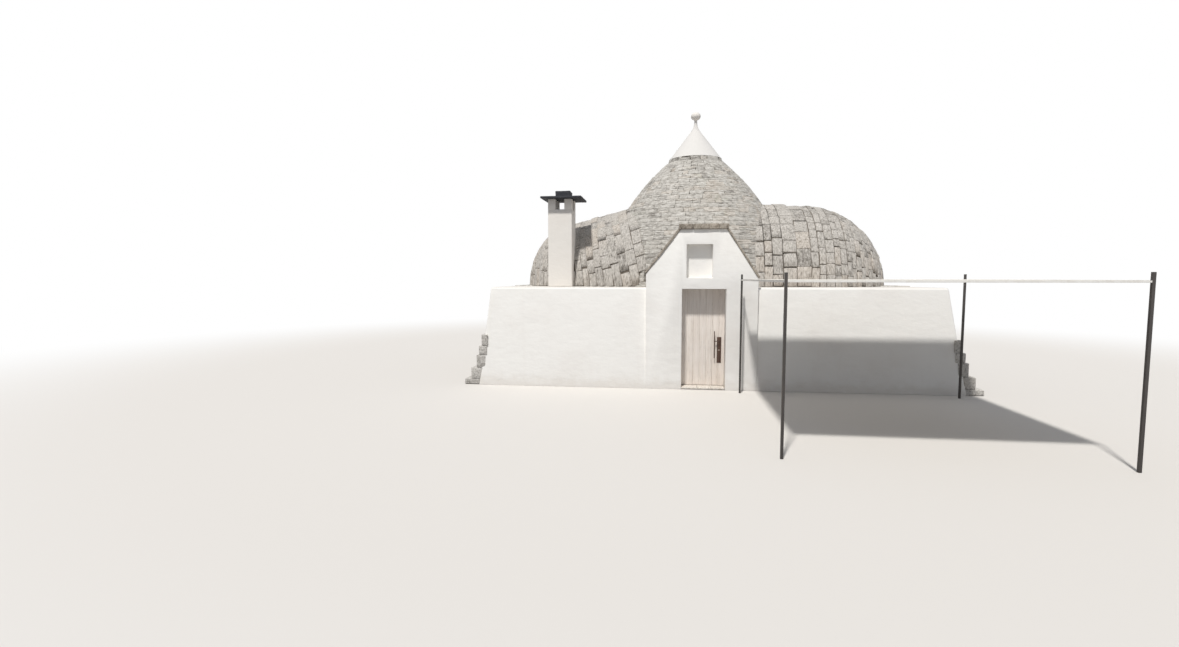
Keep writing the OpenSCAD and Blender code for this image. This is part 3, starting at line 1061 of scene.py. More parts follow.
def settle(piece: bpy.types.Object, body: Body, slot: Slot, nodes: Sequence[str] = ()) -> None:
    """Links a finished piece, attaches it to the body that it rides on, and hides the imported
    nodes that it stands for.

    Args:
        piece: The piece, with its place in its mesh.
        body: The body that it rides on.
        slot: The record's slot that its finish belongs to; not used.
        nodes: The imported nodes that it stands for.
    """
    bpy.context.scene.collection.objects.link(piece)
    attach(piece, body.value)
    if nodes:
        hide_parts(*nodes)
    log.info("%s: %d faces", piece.name, len(piece.data.polygons))


def to_piece(
    work: bmesh.types.BMesh, name: str, finish: Finish, sharp: float = 35.0
) -> bpy.types.Object:
    """Turns a working mesh into an object with soft and sharp edges.

    Args:
        work: The working mesh, which is freed.
        name: The piece's name.
        finish: Its finish.
        sharp: The angle in degrees from which an edge stays sharp.

    Returns:
        The new object, not yet linked.
    """
    mesh = bpy.data.meshes.new(name)
    work.normal_update()
    work.to_mesh(mesh)
    work.free()
    mesh.materials.append(finish.material())
    mesh.shade_smooth()
    mesh.set_sharp_from_angle(angle=math.radians(sharp))
    return bpy.data.objects.new(name, mesh)


@dataclass(frozen=True)
class Box:
    """A box between two corners whose edges are eased in a few steps."""

    low: Sequence[float]
    high: Sequence[float]
    edge: float
    tint: float = 0.5
    steps: int = 2

    def add(self, work: bmesh.types.BMesh) -> None:
        """Adds the box to a working mesh.

        Args:
            work: The working mesh.
        """
        before = set(work.verts)
        made = bmesh.ops.create_cube(work, size=1.0)["verts"]
        for vertex in made:
            for axis in range(3):
                low, high = self.low[axis], self.high[axis]
                vertex.co[axis] = low + (high - low) * (vertex.co[axis] + 0.5)
        edges = list({e for vertex in made for e in vertex.link_edges})
        bmesh.ops.bevel(
            work, geom=edges, offset=self.edge, segments=self.steps, profile=0.6,
            affect="EDGES", clamp_overlap=True,
        )
        layer = work.verts.layers.float.get("tint") or work.verts.layers.float.new("tint")
        for vertex in work.verts:
            if vertex not in before:
                vertex[layer] = self.tint


def box_piece(
    name: str,
    boxes: Sequence[Box],
    finish: Finish,
    slot: Slot,
    node: str,
    body: Body = Body.HOUSE,
) -> None:
    """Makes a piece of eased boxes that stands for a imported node.

    Args:
        name: The piece's name.
        boxes: Its boxes.
        finish: Its finish.
        slot: The record's slot.
        node: The node that it stands for.
        body: The body that it rides on.
    """
    work = bmesh.new()
    for box in boxes:
        box.add(work)
    settle(to_piece(work, name, finish), body, slot, (node,))


# From this many radians an edge that stands out is sharp enough to be rounded
OUTER_EDGE = 0.35
# Points nearer to each other than this are one
SAME_PLACE = 1e-5


def joined_copy(nodes: Sequence[str], frame: dict) -> bmesh.types.BMesh:
    """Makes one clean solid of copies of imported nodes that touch.

    Args:
        nodes: The nodes' names.
        frame: The loaded frame.

    Returns:
        A working mesh whose flat faces are whole again.
    """
    solids = []
    for name in nodes:
        work = bmesh.new()
        work.from_mesh(frame["nodes"][name].data)
        bmesh.ops.remove_doubles(work, verts=work.verts, dist=SAME_PLACE)
        mesh = bpy.data.meshes.new(name + "_copy")
        work.to_mesh(mesh)
        work.free()
        solid = bpy.data.objects.new(name + "_copy", mesh)
        bpy.context.scene.collection.objects.link(solid)
        solids.append(solid)
    for other in solids[1:]:
        union = solids[0].modifiers.new("union", "BOOLEAN")
        union.operation = "UNION"
        union.solver = "EXACT"
        union.object = other
    graph = bpy.context.evaluated_depsgraph_get()
    whole = bmesh.new()
    whole.from_object(solids[0], graph)
    for solid in solids:
        bpy.data.objects.remove(solid)
    bmesh.ops.remove_doubles(whole, verts=whole.verts, dist=SAME_PLACE)
    bmesh.ops.dissolve_limit(
        whole, angle_limit=math.radians(0.5), verts=whole.verts, edges=whole.edges
    )
    return whole


def soft_piece(
    name: str, nodes: Sequence[str], frame: dict, finish: Finish, chosen: Keep, edge: float
) -> None:
    """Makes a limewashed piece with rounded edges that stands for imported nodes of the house.

    Args:
        name: The piece's name.
        nodes: The nodes that it is made from and stands for.
        frame: The loaded frame.
        finish: Its finish.
        chosen: Tells from an edge's two ends whether it is rounded.
        edge: The width of the rounding.
    """
    work = joined_copy(nodes, frame)
    edges = [
        e
        for e in work.edges
        if len(e.link_faces) == 2
        and e.calc_face_angle_signed(0.0) > OUTER_EDGE
        and chosen(e.verts[0].co, e.verts[1].co)
    ]
    bmesh.ops.bevel(
        work, geom=edges, offset=edge, segments=4, profile=0.5, affect="EDGES",
        clamp_overlap=True,
    )
    layer = work.verts.layers.float.new("tint")
    for vertex in work.verts:
        vertex[layer] = 0.5
    settle(to_piece(work, name, finish), Body.HOUSE, Slot.PLASTER, nodes)


def cut_run(
    rng: random.Random, total: float, shortest: float, longest: float
) -> Iterator[Span]:
    """Cuts a run into lengths drawn by chance.

    Args:
        rng: The random numbers.
        total: The run's length.
        shortest: The least length.
        longest: The greatest length.

    Yields:
        The start and the end of each length.
    """
    start = 0.0
    while start < total - 1e-6:
        length = rng.uniform(shortest, longest)
        left = total - start
        if left < length + shortest:
            length = left if left <= longest else left / 2.0
        yield start, min(start + length, total)
        start += length


# Roofs


@dataclass
class ConeRoof:
    """The cone of thin slabs laid in level courses under its white cap.

    The slabs get shorter towards the top, in some places two thinner ones lie in a course, and the
    last course stands nearly upright, flush with the rim of the cap.
    """

    plan: Plan = PLAN
    lengths: Span = (0.12, 0.46)
    shrink: float = 0.48
    depth: float = 0.22
    joint: float = 0.003
    split_share: float = 0.26
    proud: Span = (0.010, 0.018)
    lean: Span = (0.84, 0.96)
    top_out: float = 0.018
    top_lean: float = 0.3
    under_gable: float = 0.13
    under_vault: float = 0.16

    def stones(self) -> Masonry:
        """Lays every slab of every course that shows.

        Returns:
            The laid slabs.
        """
        made = Masonry(
            "cone_slabs", ROOF_STONE, seed=11, edge=0.005, wobble=0.009, wobble_scale=9.0,
            replaces=("cone_courses",),
        )
        rng = made.rng
        plan = self.plan
        for index in range(plan.courses):
            radius = plan.course_r(index)
            low = plan.wall_h + index * plan.course_h
            size = (1.0 - self.shrink) + self.shrink * radius / plan.course_r(0)
            short, long = (length * size for length in self.lengths)
            start = rng.uniform(0.0, math.tau)
            step_out = rng.uniform(-0.003, 0.003)
            if index == plan.courses - 1:
                step_out = self.top_out
            for first, last in cut_run(rng, math.tau * radius, short, long):
                angle = start + (first + last) / 2.0 / radius
                length = last - first - self.joint * rng.uniform(0.4, 1.2)
                levels = [(low, plan.course_h)]
                if rng.random() < self.split_share:
                    part = rng.uniform(0.42, 0.58) * plan.course_h
                    levels = [(low, part), (low + part, plan.course_h - part)]
                for bottom, height in levels:
                    self._slab(made, step_out, angle, bottom, height, length)
        return made

    def _slab(
        self,
        made: Masonry,
        step_out: float,
        angle: float,
        bottom: float,
        height: float,
        length: float,
    ) -> None:
        """Lays one slab unless a vault or the gable hides it.

        Args:
            made: The piece that the slab goes to.
            step_out: How far its course stands out.
            angle: Where its middle is round the cone.
            bottom: The height of its underside.
            height: Its height, with its joint.
            length: Its length.
        """
        rng = made.rng
        outward = Vector((math.cos(angle), math.sin(angle), 0.0))
        middle = bottom + height / 2.0
        lean = self.plan.cone_lean(middle) * rng.uniform(*self.lean)
        if middle > self.plan.wall_h + self.plan.cone_h - self.plan.course_h:
            lean *= self.top_lean
        proud = step_out + rng.uniform(*self.proud)
        face = outward * (self.plan.cone_r(middle) + proud) + UP * middle
        hidden = self.plan.under_gable(face, self.under_gable)
        if hidden or any(vault.holds(face, self.under_vault) for vault in VAULTS):
            return
        tall = height * math.hypot(1.0, lean) - self.joint * 1.3
        size = (length, self.depth * rng.uniform(0.9, 1.1), tall)
        made.lay(face, outward + UP * lean, UP, size, spin=rng.gauss(0.0, 0.014))

    def build(self, tree: StoneTree) -> None:
        """Builds the slabs."""
        self.stones().build(tree)


@dataclass
class Vault:
    """A half-barrel roof with a rounded end, of stones set in upright columns.

    The columns go from wide and tall-stoned by the cone to narrow and low-stoned at the end, and
    by the cone their tops lean away from it. Those that start between the two values of large are
    wider by large_by, and up to the second value they stand out by large_out.
    """

    name: str
    side: int
    seed: int
    crown: float
    fall: float
    end: float
    flat: float
    wide: Span
    narrow: Span
    tall: Span
    low: Span
    lean: float = 0.0
    large: Span = (0.0, 0.0)
    large_out: float = 0.0
    large_by: float = 1.9
    plan: Plan = PLAN
    thick: float = 0.4
    seam: float = 1.69
    start: float = 1.25
    depth: float = 0.2
    joint: float = 0.005
    proud: Span = (0.003, 0.007)
    arc_steps: int = 16
    under_cone: float = 0.13
    under_gable: float = 0.12
    under_shaft: float = 0.02

    def __post_init__(self) -> None:
        """Draws the outlines, and measures how far along the outer one its points lie."""
        self.outline = self.profile(0.0)
        self.inner = self.profile(self.thick)
        self.run = [0.0]
        for (x0, r0), (x1, r1) in zip(self.outline, self.outline[1:]):
            self.run.append(self.run[-1] + math.hypot(x1 - x0, r1 - r0))

    def profile(self, inset: float) -> list[Span]:
        """Draws the falling side, the rounded end and the flat of the end.

        Args:
            inset: How far inside the outer face the outline lies.

        Returns:
            The outline's distances from the cone's axis and its radii.
        """
        slope = math.radians(self.fall)
        fall = math.tan(slope)
        whole = self.crown - (self.end - self.seam) * fall - self.flat
        whole /= 1.0 / math.cos(slope) - fall
        centre = self.end - whole
        turn = whole - inset
        first = math.pi / 2.0 - slope
        side_x = centre + turn * math.cos(first)
        side_r = self.flat + turn * math.sin(first)
        points = [(self.start, side_r + (side_x - self.start) * fall)]
        for index in range(self.arc_steps + 1):
            angle = first * (1.0 - index / self.arc_steps)
            points.append((centre + turn * math.cos(angle), self.flat + turn * math.sin(angle)))
        if self.flat > 0.0:
            points.append((self.end - inset, 0.0))
        return points

    @staticmethod
    def radius_at(outline: Sequence[Span], out: float) -> float:
        """Finds an outline's radius.

        Args:
            outline: The outline's distances from the cone's axis and its radii.
            out: The distance from the cone's axis.

        Returns:
            The radius there, or 0 beyond the outline.
        """
        for (x0, r0), (x1, r1) in zip(outline, outline[1:]):
            if x0 <= out <= x1 and x1 > x0:
                return r0 + (r1 - r0) * (out - x0) / (x1 - x0)
        return 0.0

    def holds(self, place: Vector, spare: float) -> bool:
        """Tells whether a point lies deep inside the vault.

        Args:
            place: The point.
            spare: How deep inside it has to lie.

        Returns:
            True if the vault hides it.
        """
        out = place.x * self.side
        if out < self.outline[0][0]:
            return False
        radius = self.radius_at(self.outline, out)
        return math.hypot(place.y, place.z - self.plan.wall_h) < radius - spare

    def spot(self, run: float, angle: float) -> tuple[Vector, Vector, Vector]:
        """Finds a point of the roof.

        Args:
            run: The distance along the outline.
            angle: The angle round the vault, 0 at the front foot and pi at the rear one.

        Returns:
            The point, where the roof looks there, and the way round the vault.
        """
        index = 0
        while index < len(self.run) - 2 and run > self.run[index + 1]:
            index += 1
        (x0, r0), (x1, r1) = self.outline[index], self.outline[index + 1]
        share = (run - self.run[index]) / (self.run[index + 1] - self.run[index])
        out = x0 + (x1 - x0) * share
        radius = max(r0 + (r1 - r0) * share, 0.001)
        slope = Vector((x1 - x0, r1 - r0)).normalized()
        cosine, sine = math.cos(angle), math.sin(angle)
        point = Vector((self.side * out, -radius * cosine, self.plan.wall_h + radius * sine))
        outward = Vector((-slope.y * self.side, -slope.x * cosine, slope.x * sine)).normalized()
        return point, outward, Vector((0.0, sine, cosine))

    def stones(self) -> Masonry:
        """Lays every column of stones that shows.

        Returns:
            The laid stones.
        """
        made = Masonry(
            self.name, VAULT_STONE, seed=self.seed, divisions=5, edge=0.010, wobble=0.024,
            wobble_scale=7.0, taper=1.8,
        )
        rng = made.rng
        total = self.run[-1]
        first = -self.lean
        while first < total - 0.05:
            share = min(max(first, 0.0) / total * 1.25, 1.0)
            width = rng.uniform(*self.wide) * (1 - share) + rng.uniform(*self.narrow) * share
            if self.large[0] < first < self.large[1]:
                width *= self.large_by
            if total - first - width < self.narrow[0] * 0.7:
                width = total - first
            self._column(made, first, width, share)
            first += width
        return made

    def _column(self, made: Masonry, first: float, width: float, share: float) -> None:
        """Lays one column from the front foot over the crown to the rear foot.

        Args:
            made: The piece that the stones go to.
            first: Where the column starts along the outline.
            width: Its width.
            share: How far along the roof it is, from 0 to 1.
        """
        rng = made.rng
        middle = first + width / 2.0
        point, _, _ = self.spot(middle, 0.0)
        radius = max(-point.y, 0.08)
        tall = self.tall[0] * (1 - share) + self.low[0] * share
        long = self.tall[1] * (1 - share) + self.low[1] * share
        length = math.pi * radius
        lean = self.lean * max(1.0 - share * 1.15, 0.0)
        step_out = rng.uniform(0.0, 0.02)
        if middle < self.large[1]:
            step_out += self.large_out
        for start, end in cut_run(rng, length, min(tall, length), min(long, length)):
            angle = (start + end) / 2.0 / radius
            run = min(middle + lean * math.sin(angle), self.run[-1])
            if run < 0.0:
                continue
            face, outward, round_way = self.spot(run, angle)
            flat = Vector((face.x, face.y))
            if flat.length < self.plan.cone_r(face.z) - self.under_cone:
                continue
            hidden = self.plan.under_gable(face, self.under_gable)
            if hidden or inside_shaft(face, self.under_shaft):
                continue
            spin = math.atan2(lean * math.cos(angle), radius) * self.side
            size = (
                width * rng.uniform(0.93, 1.03) - self.joint * 1.6,
                self.depth,
                end - start - self.joint * rng.uniform(0.2, 0.6),
            )
            # A long stone's flat face stands off the curve at its ends, so short ones are lifted
            curve = max(long**2 - (end - start) ** 2, 0.0) / (8.0 * max(radius, 0.5))
            proud = step_out + rng.uniform(*self.proud) + curve * 0.6
            spin += rng.gauss(0.0, 0.035)
            made.lay(face + outward * proud, outward, round_way, size, spin=spin)

    def build(self, tree: StoneTree) -> None:
        """Builds the stones."""
        self.stones().build(tree)


def inside_shaft(place: Vector, spare: float) -> bool:
    """Tells whether a point lies inside the chimney's shaft, shrunk by spare, at any height."""
    low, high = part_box("chimney_shaft")
    return all(low[axis] + spare < place[axis] < high[axis] - spare for axis in (0, 1))


VAULTS = (
    Vault(
        "left_vault_stones", -1, 23, crown=1.95, fall=14.8, end=4.19, flat=0.267,
        wide=(0.17, 0.27), narrow=(0.09, 0.14), tall=(0.32, 0.58), low=(0.2, 0.42), lean=0.5,
    ),
    Vault(
        "right_vault_stones", 1, 29, crown=1.96, fall=0.0, end=4.52, flat=0.0,
        wide=(0.15, 0.26), narrow=(0.08, 0.14), tall=(0.24, 0.5), low=(0.18, 0.42),
        large=(0.55, 0.95), large_out=0.055,
    ),
)


@dataclass
class GableRoof:
    """The stones over the doorway's gable: verge slabs, the eave course and the roof behind."""

    plan: Plan = PLAN
    verge_lengths: Span = (0.19, 0.42)
    verge_out: float = 0.03
    verge_d: float = 0.33
    eave_lengths: Span = (0.16, 0.36)
    eave_out: float = 0.052
    eave_over: float = 0.043
    eave_h: float = 0.108
    eave_d: float = 0.38
    slab_heights: Span = (0.14, 0.22)
    slab_lengths: Span = (0.18, 0.4)
    slab_t: float = 0.08
    top_lengths: Span = (0.2, 0.4)
    top_over: float = 0.05
    cheek_heights: Span = (0.08, 0.16)
    joint: float = 0.008
    back: float = 0.94

    def _slope(self, side: int) -> tuple[Vector, Vector, Vector, float]:
        """Measures one slope on the gable's front.

        Args:
            side: The left (-1) or the right (1) one.

        Returns:
            Its foot, the way up it, the way that it looks and its length.
        """
        plan = self.plan
        if side < 0:
            foot_x, foot_z, top_x = plan.gable_left, plan.gable_eave_left, plan.gable_top_left
        else:
            foot_x, foot_z, top_x = plan.gable_right, plan.gable_eave_right, plan.gable_top_right
        foot = Vector((foot_x, plan.front_y, foot_z))
        rise = Vector((top_x, plan.front_y, plan.gable_h)) - foot
        climb = rise.normalized()
        square = Vector((-climb.z, 0.0, climb.x)) * (1 if climb.x > 0 else -1)
        return foot, climb, square, rise.length

    def _sizes(self, wide: Span, high: Span) -> Triple:
        """Returns the sizes of a slab from its cuts both ways, less the joints."""
        return (wide[1] - wide[0] - self.joint, self.slab_t, high[1] - high[0] - self.joint)

    def verges(self) -> Masonry:
        """Lays the slabs on the slopes' edges and the eave course over the level top.

        Returns:
            The laid slabs.
        """
        plan = self.plan
        made = Masonry(
            "gable_verge_slabs", VERGE_STONE_WITH_SHADE, seed=31, divisions=5, edge=0.006, wobble=0.014,
            replaces=("gable_coping",),
        )
        rng = made.rng
        for side in (-1, 1):
            foot, climb, square, length = self._slope(side)
            thick = plan.coping_t * abs(climb.x)
            for start, end in cut_run(rng, length, *self.verge_lengths):
                middle = foot + climb * ((start + end) / 2.0) + square * (thick / 2.0)
                face = middle + FRONT * (self.verge_out * rng.uniform(0.5, 1.0))
                size = (end - start - 0.007, self.verge_d, thick * rng.uniform(0.92, 1.12))
                made.lay(face, FRONT, square, size)
        left = plan.gable_top_left - self.eave_over
        width = plan.gable_top_right + self.eave_over - left
        for start, end in cut_run(rng, width, *self.eave_lengths):
            middle = Vector((left + (start + end) / 2.0, plan.front_y, plan.gable_h))
            face = middle + UP * (self.eave_h / 2.0) + FRONT * self.eave_out * rng.uniform(0.8, 1)
            made.lay(face, FRONT, UP, (end - start - 0.006, self.eave_d, self.eave_h - 0.003))
        return made

    def slopes(self) -> Masonry:
        """Lays the slabs of both slopes and the level top back to the cone.

        Returns:
            The laid slabs.
        """
        plan = self.plan
        made = Masonry("gable_roof_slabs", ROOF_STONE, seed=37, edge=0.01, wobble=0.02)
        rng = made.rng
        for side in (-1, 1):
            foot, climb, square, length = self._slope(side)
            lift = square * (plan.coping_t * abs(climb.x) + 0.012)
            for rise in cut_run(rng, length + self.top_over, *self.slab_heights):
                for run in cut_run(rng, self.back, *self.slab_lengths):
                    depth = plan.recess_y - plan.front_y + sum(run) / 2.0
                    face = foot + climb * (sum(rise) / 2.0) - FRONT * depth + lift
                    size = self._sizes(run, rise)
                    made.lay(face, square, climb, size, spin=rng.gauss(0.0, 0.02))
        left = plan.gable_top_left - self.top_over
        width = plan.gable_top_right + self.top_over - left
        top = plan.gable_h + plan.coping_t + 0.014
        for across in cut_run(rng, width, *self.top_lengths):
            for run in cut_run(rng, self.back, *self.top_lengths):
                face = Vector((left + sum(across) / 2.0, plan.recess_y + sum(run) / 2.0, top))
                made.lay(face, UP, -FRONT, self._sizes(across, run))
        self._cheeks(made)
        return made

    def _cheeks(self, made: Masonry) -> None:
        """Lays the low upright sides between the wall tops and the eaves of the slopes.

        Args:
            made: The piece that the slabs go to.
        """
        plan = self.plan
        rng = made.rng
        for side in (-1, 1):
            foot = self._slope(side)[0]
            for rise in cut_run(rng, foot.z - plan.wall_h, *self.cheek_heights):
                for run in cut_run(rng, self.back, *self.top_lengths):
                    middle = plan.wall_h + sum(rise) / 2.0
                    along = plan.recess_y + sum(run) / 2.0
                    face = Vector((foot.x + side * rng.uniform(0.006, 0.016), along, middle))
                    made.lay(face, Vector((side, 0.0, 0.0)), UP, self._sizes(run, rise))

    def build(self, tree: StoneTree) -> None:
        """Builds the verges and the slopes."""
        self.verges().build(tree)
        self.slopes().build(tree)


# Walls


@dataclass
class Walls:
    """The leaning walls: limewash in front, coursed rubble at the sides and the rear.

    The flags on their tops reach flags_ahead in front of the cone's axis, and flags_right beside
    the right vault. Each step of a plinth has the height of its top and how far it stands out.
    """

    frame: dict
    plan: Plan = PLAN
    corner: float = 0.045
    return_depth: float = 0.2
    rubble_heights: Span = (0.12, 0.24)
    rubble_lengths: Span = (0.16, 0.52)
    rubble_depth: float = 0.16
    rubble_proud: float = 0.014
    rubble_joint: float = 0.013
    flag_rows: Span = (0.28, 0.42)
    flag_lengths: Span = (0.28, 0.55)
    flag_joint: float = 0.01
    flags_ahead: float = 0.9
    flags_right: float = 1.098
    past_gable: float = 1.3
    past_vaults: float = 4.3
    under_roof: float = 0.22
    block_lengths: Span = (0.28, 0.85)
    steps: tuple[Span, ...] = (
        (0.12, 0.34), (0.37, 0.21), (0.65, 0.12), (0.85, 0.10), (1.10, 0.06),
    )

    def fronts(self) -> None:
        """Makes the two limewashed front walls with edges as if rounded by hand."""
        plan = self.plan

        def outer(first: Vector, second: Vector) -> bool:
            """Chooses the top edge and the corner of the house.

            Args:
                first: One end of an edge.
                second: Its other end.

            Returns:
                True for those edges.
            """
            middle = (first + second) / 2.0
            ahead = middle.y < plan.front_y + 0.14
            far = abs(middle.x) > self.past_gable and middle.z > 0.02
            side = abs(first.x - second.x) < 0.5 and abs(first.z - second.z) < 0.1
            beyond = abs(middle.x) > self.past_vaults
            top = min(first.z, second.z) > plan.wall_h - 0.01 and beyond
            return (ahead and far) or (top and side)

        for side in ("left", "right"):
            name = f"front_wall_{side}"
            soft_piece(f"{name}_wash", (name,), self.frame, FRONT_WASH, outer, self.corner)

    def _rubble(self, made: Masonry, foot: Pair, top: Pair) -> None:
        """Lays one wall face in rough courses.

        Args:
            made: The piece that the stones go to.
            foot: The face's two lower corners.
            top: Its two upper corners.
        """
        rng = made.rng
        rise = (top[0] + top[1] - foot[0] - foot[1]).normalized()
        outward = (foot[1] - foot[0]).cross(rise).normalized()
        if outward.dot(foot[0] + foot[1]) < 0:
            outward = -outward
        total = self.plan.wall_h
        for low, high in cut_run(rng, total, *self.rubble_heights):
            share = (low + high) / 2.0 / total
            start = foot[0].lerp(top[0], share)
            end = foot[1].lerp(top[1], share)
            way = (end - start).normalized()
            for first, last in cut_run(rng, (end - start).length, *self.rubble_lengths):
                face = start + way * ((first + last) / 2.0)
                face += outward * (self.rubble_proud * rng.uniform(0.2, 1.0))
                wide, tall = last - first - self.rubble_joint, high - low - self.rubble_joint
                size = (wide, self.rubble_depth, tall)
                made.lay(face, outward, rise, size, spin=rng.gauss(0.0, 0.018))

    def rubble(self) -> Masonry:
        """Lays the rear and both sides.

        Returns:
            The laid stones.
        """
        plan = self.plan
        made = Masonry(
            "side_and_rear_rubble", DRY_STONE, seed=41, edge=0.016, wobble=0.032,
            wobble_scale=6.0,
        )
        rear_top = plan.rear_y - plan.batter
        ahead = plan.front_y + self.return_depth
        left, right = plan.wall_left, plan.wall_right
        left_top, right_top = plan.wall_x(-1, plan.wall_h), plan.wall_x(1, plan.wall_h)
        height = plan.wall_h
        foot = (Vector((right, plan.rear_y, 0.0)), Vector((left, plan.rear_y, 0.0)))
        top = (Vector((right_top, rear_top, height)), Vector((left_top, rear_top, height)))
        self._rubble(made, foot, top)
        for low_x, high_x in ((left, left_top), (right, right_top)):
            foot = (Vector((low_x, ahead, 0.0)), Vector((low_x, plan.rear_y, 0.0)))
            top = (Vector((high_x, ahead, height)), Vector((high_x, rear_top, height)))
            self._rubble(made, foot, top)
        return made

    def ledges(self) -> Masonry:
        """Lays the flat slabs on the wall tops behind and beside the roofs.

        Returns:
            The laid slabs.
        """
        plan = self.plan
        made = Masonry("wall_top_slabs", DRY_STONE, seed=43, edge=0.01, wobble=0.022)
        rng = made.rng
        left = plan.wall_x(-1, plan.wall_h)
        right = plan.wall_x(1, plan.wall_h)
        rear = plan.rear_y - plan.batter + 0.012
        total = rear + self.flags_ahead
        rows = [(*row, left) for row in cut_run(rng, total, *self.flag_rows)]
        rows.append((total + 0.005, rear + self.flags_right, 0.0))
        for low, high, start in rows:
            across = rear - (low + high) / 2.0
            for first, last in cut_run(rng, right - start, *self.flag_lengths):
                face = Vector((start + (first + last) / 2.0, across, plan.wall_h + 0.016))
                size = (last - first - self.flag_joint, 0.06, high - low - self.flag_joint)
                covered = math.hypot(face.x, face.y) < plan.course_r(0) - self.under_roof
                if not covered and not any(v.holds(face, self.under_roof) for v in VAULTS):
                    made.lay(face, UP, -FRONT, size, spin=rng.gauss(0.0, 0.012))
        return made

    def plinth(self, side: int) -> Masonry:
        """Lays the stepped plinth of big blocks at one end of the house.

        Args:
            side: The left (-1) or the right (1) end.

        Returns:
            The laid plinth.
        """
        plan = self.plan
        name = "left" if side < 0 else "right"
        made = Masonry(
            f"plinth_{name}_blocks", DRY_STONE, seed=47 + side, divisions=6, edge=0.010,
            wobble=0.016, wobble_scale=6.0, replaces=(f"plinth_{name}",),
        )
        rng = made.rng
        length = plan.rear_y - plan.front_y - 0.03
        bottom = 0.0
        for top, out in self.steps:
            middle = (bottom + top) / 2.0
            wall = plan.wall_x(side, middle)
            for first, last in cut_run(rng, length, *self.block_lengths):
                along = plan.front_y + 0.015 + (first + last) / 2.0
                back = rng.uniform(0.004, 0.02)
                face = Vector((wall + side * (out - back), along, middle))
                size = (last - first - 0.012, out + 0.08, top - bottom - 0.008)
                made.lay(face, Vector((side, 0.0, 0.0)), UP, size, spin=rng.gauss(0.0, 0.006))
            bottom = top
        return made

    def build(self, tree: StoneTree) -> None:
        """Builds the walls and their plinths.

        Args:
            tree: The tree that shapes the stones.
        """
        self.fronts()
        self.rubble().build(tree)
        self.ledges().build(tree)
        self.plinth(-1).build(tree)
        self.plinth(1).build(tree)


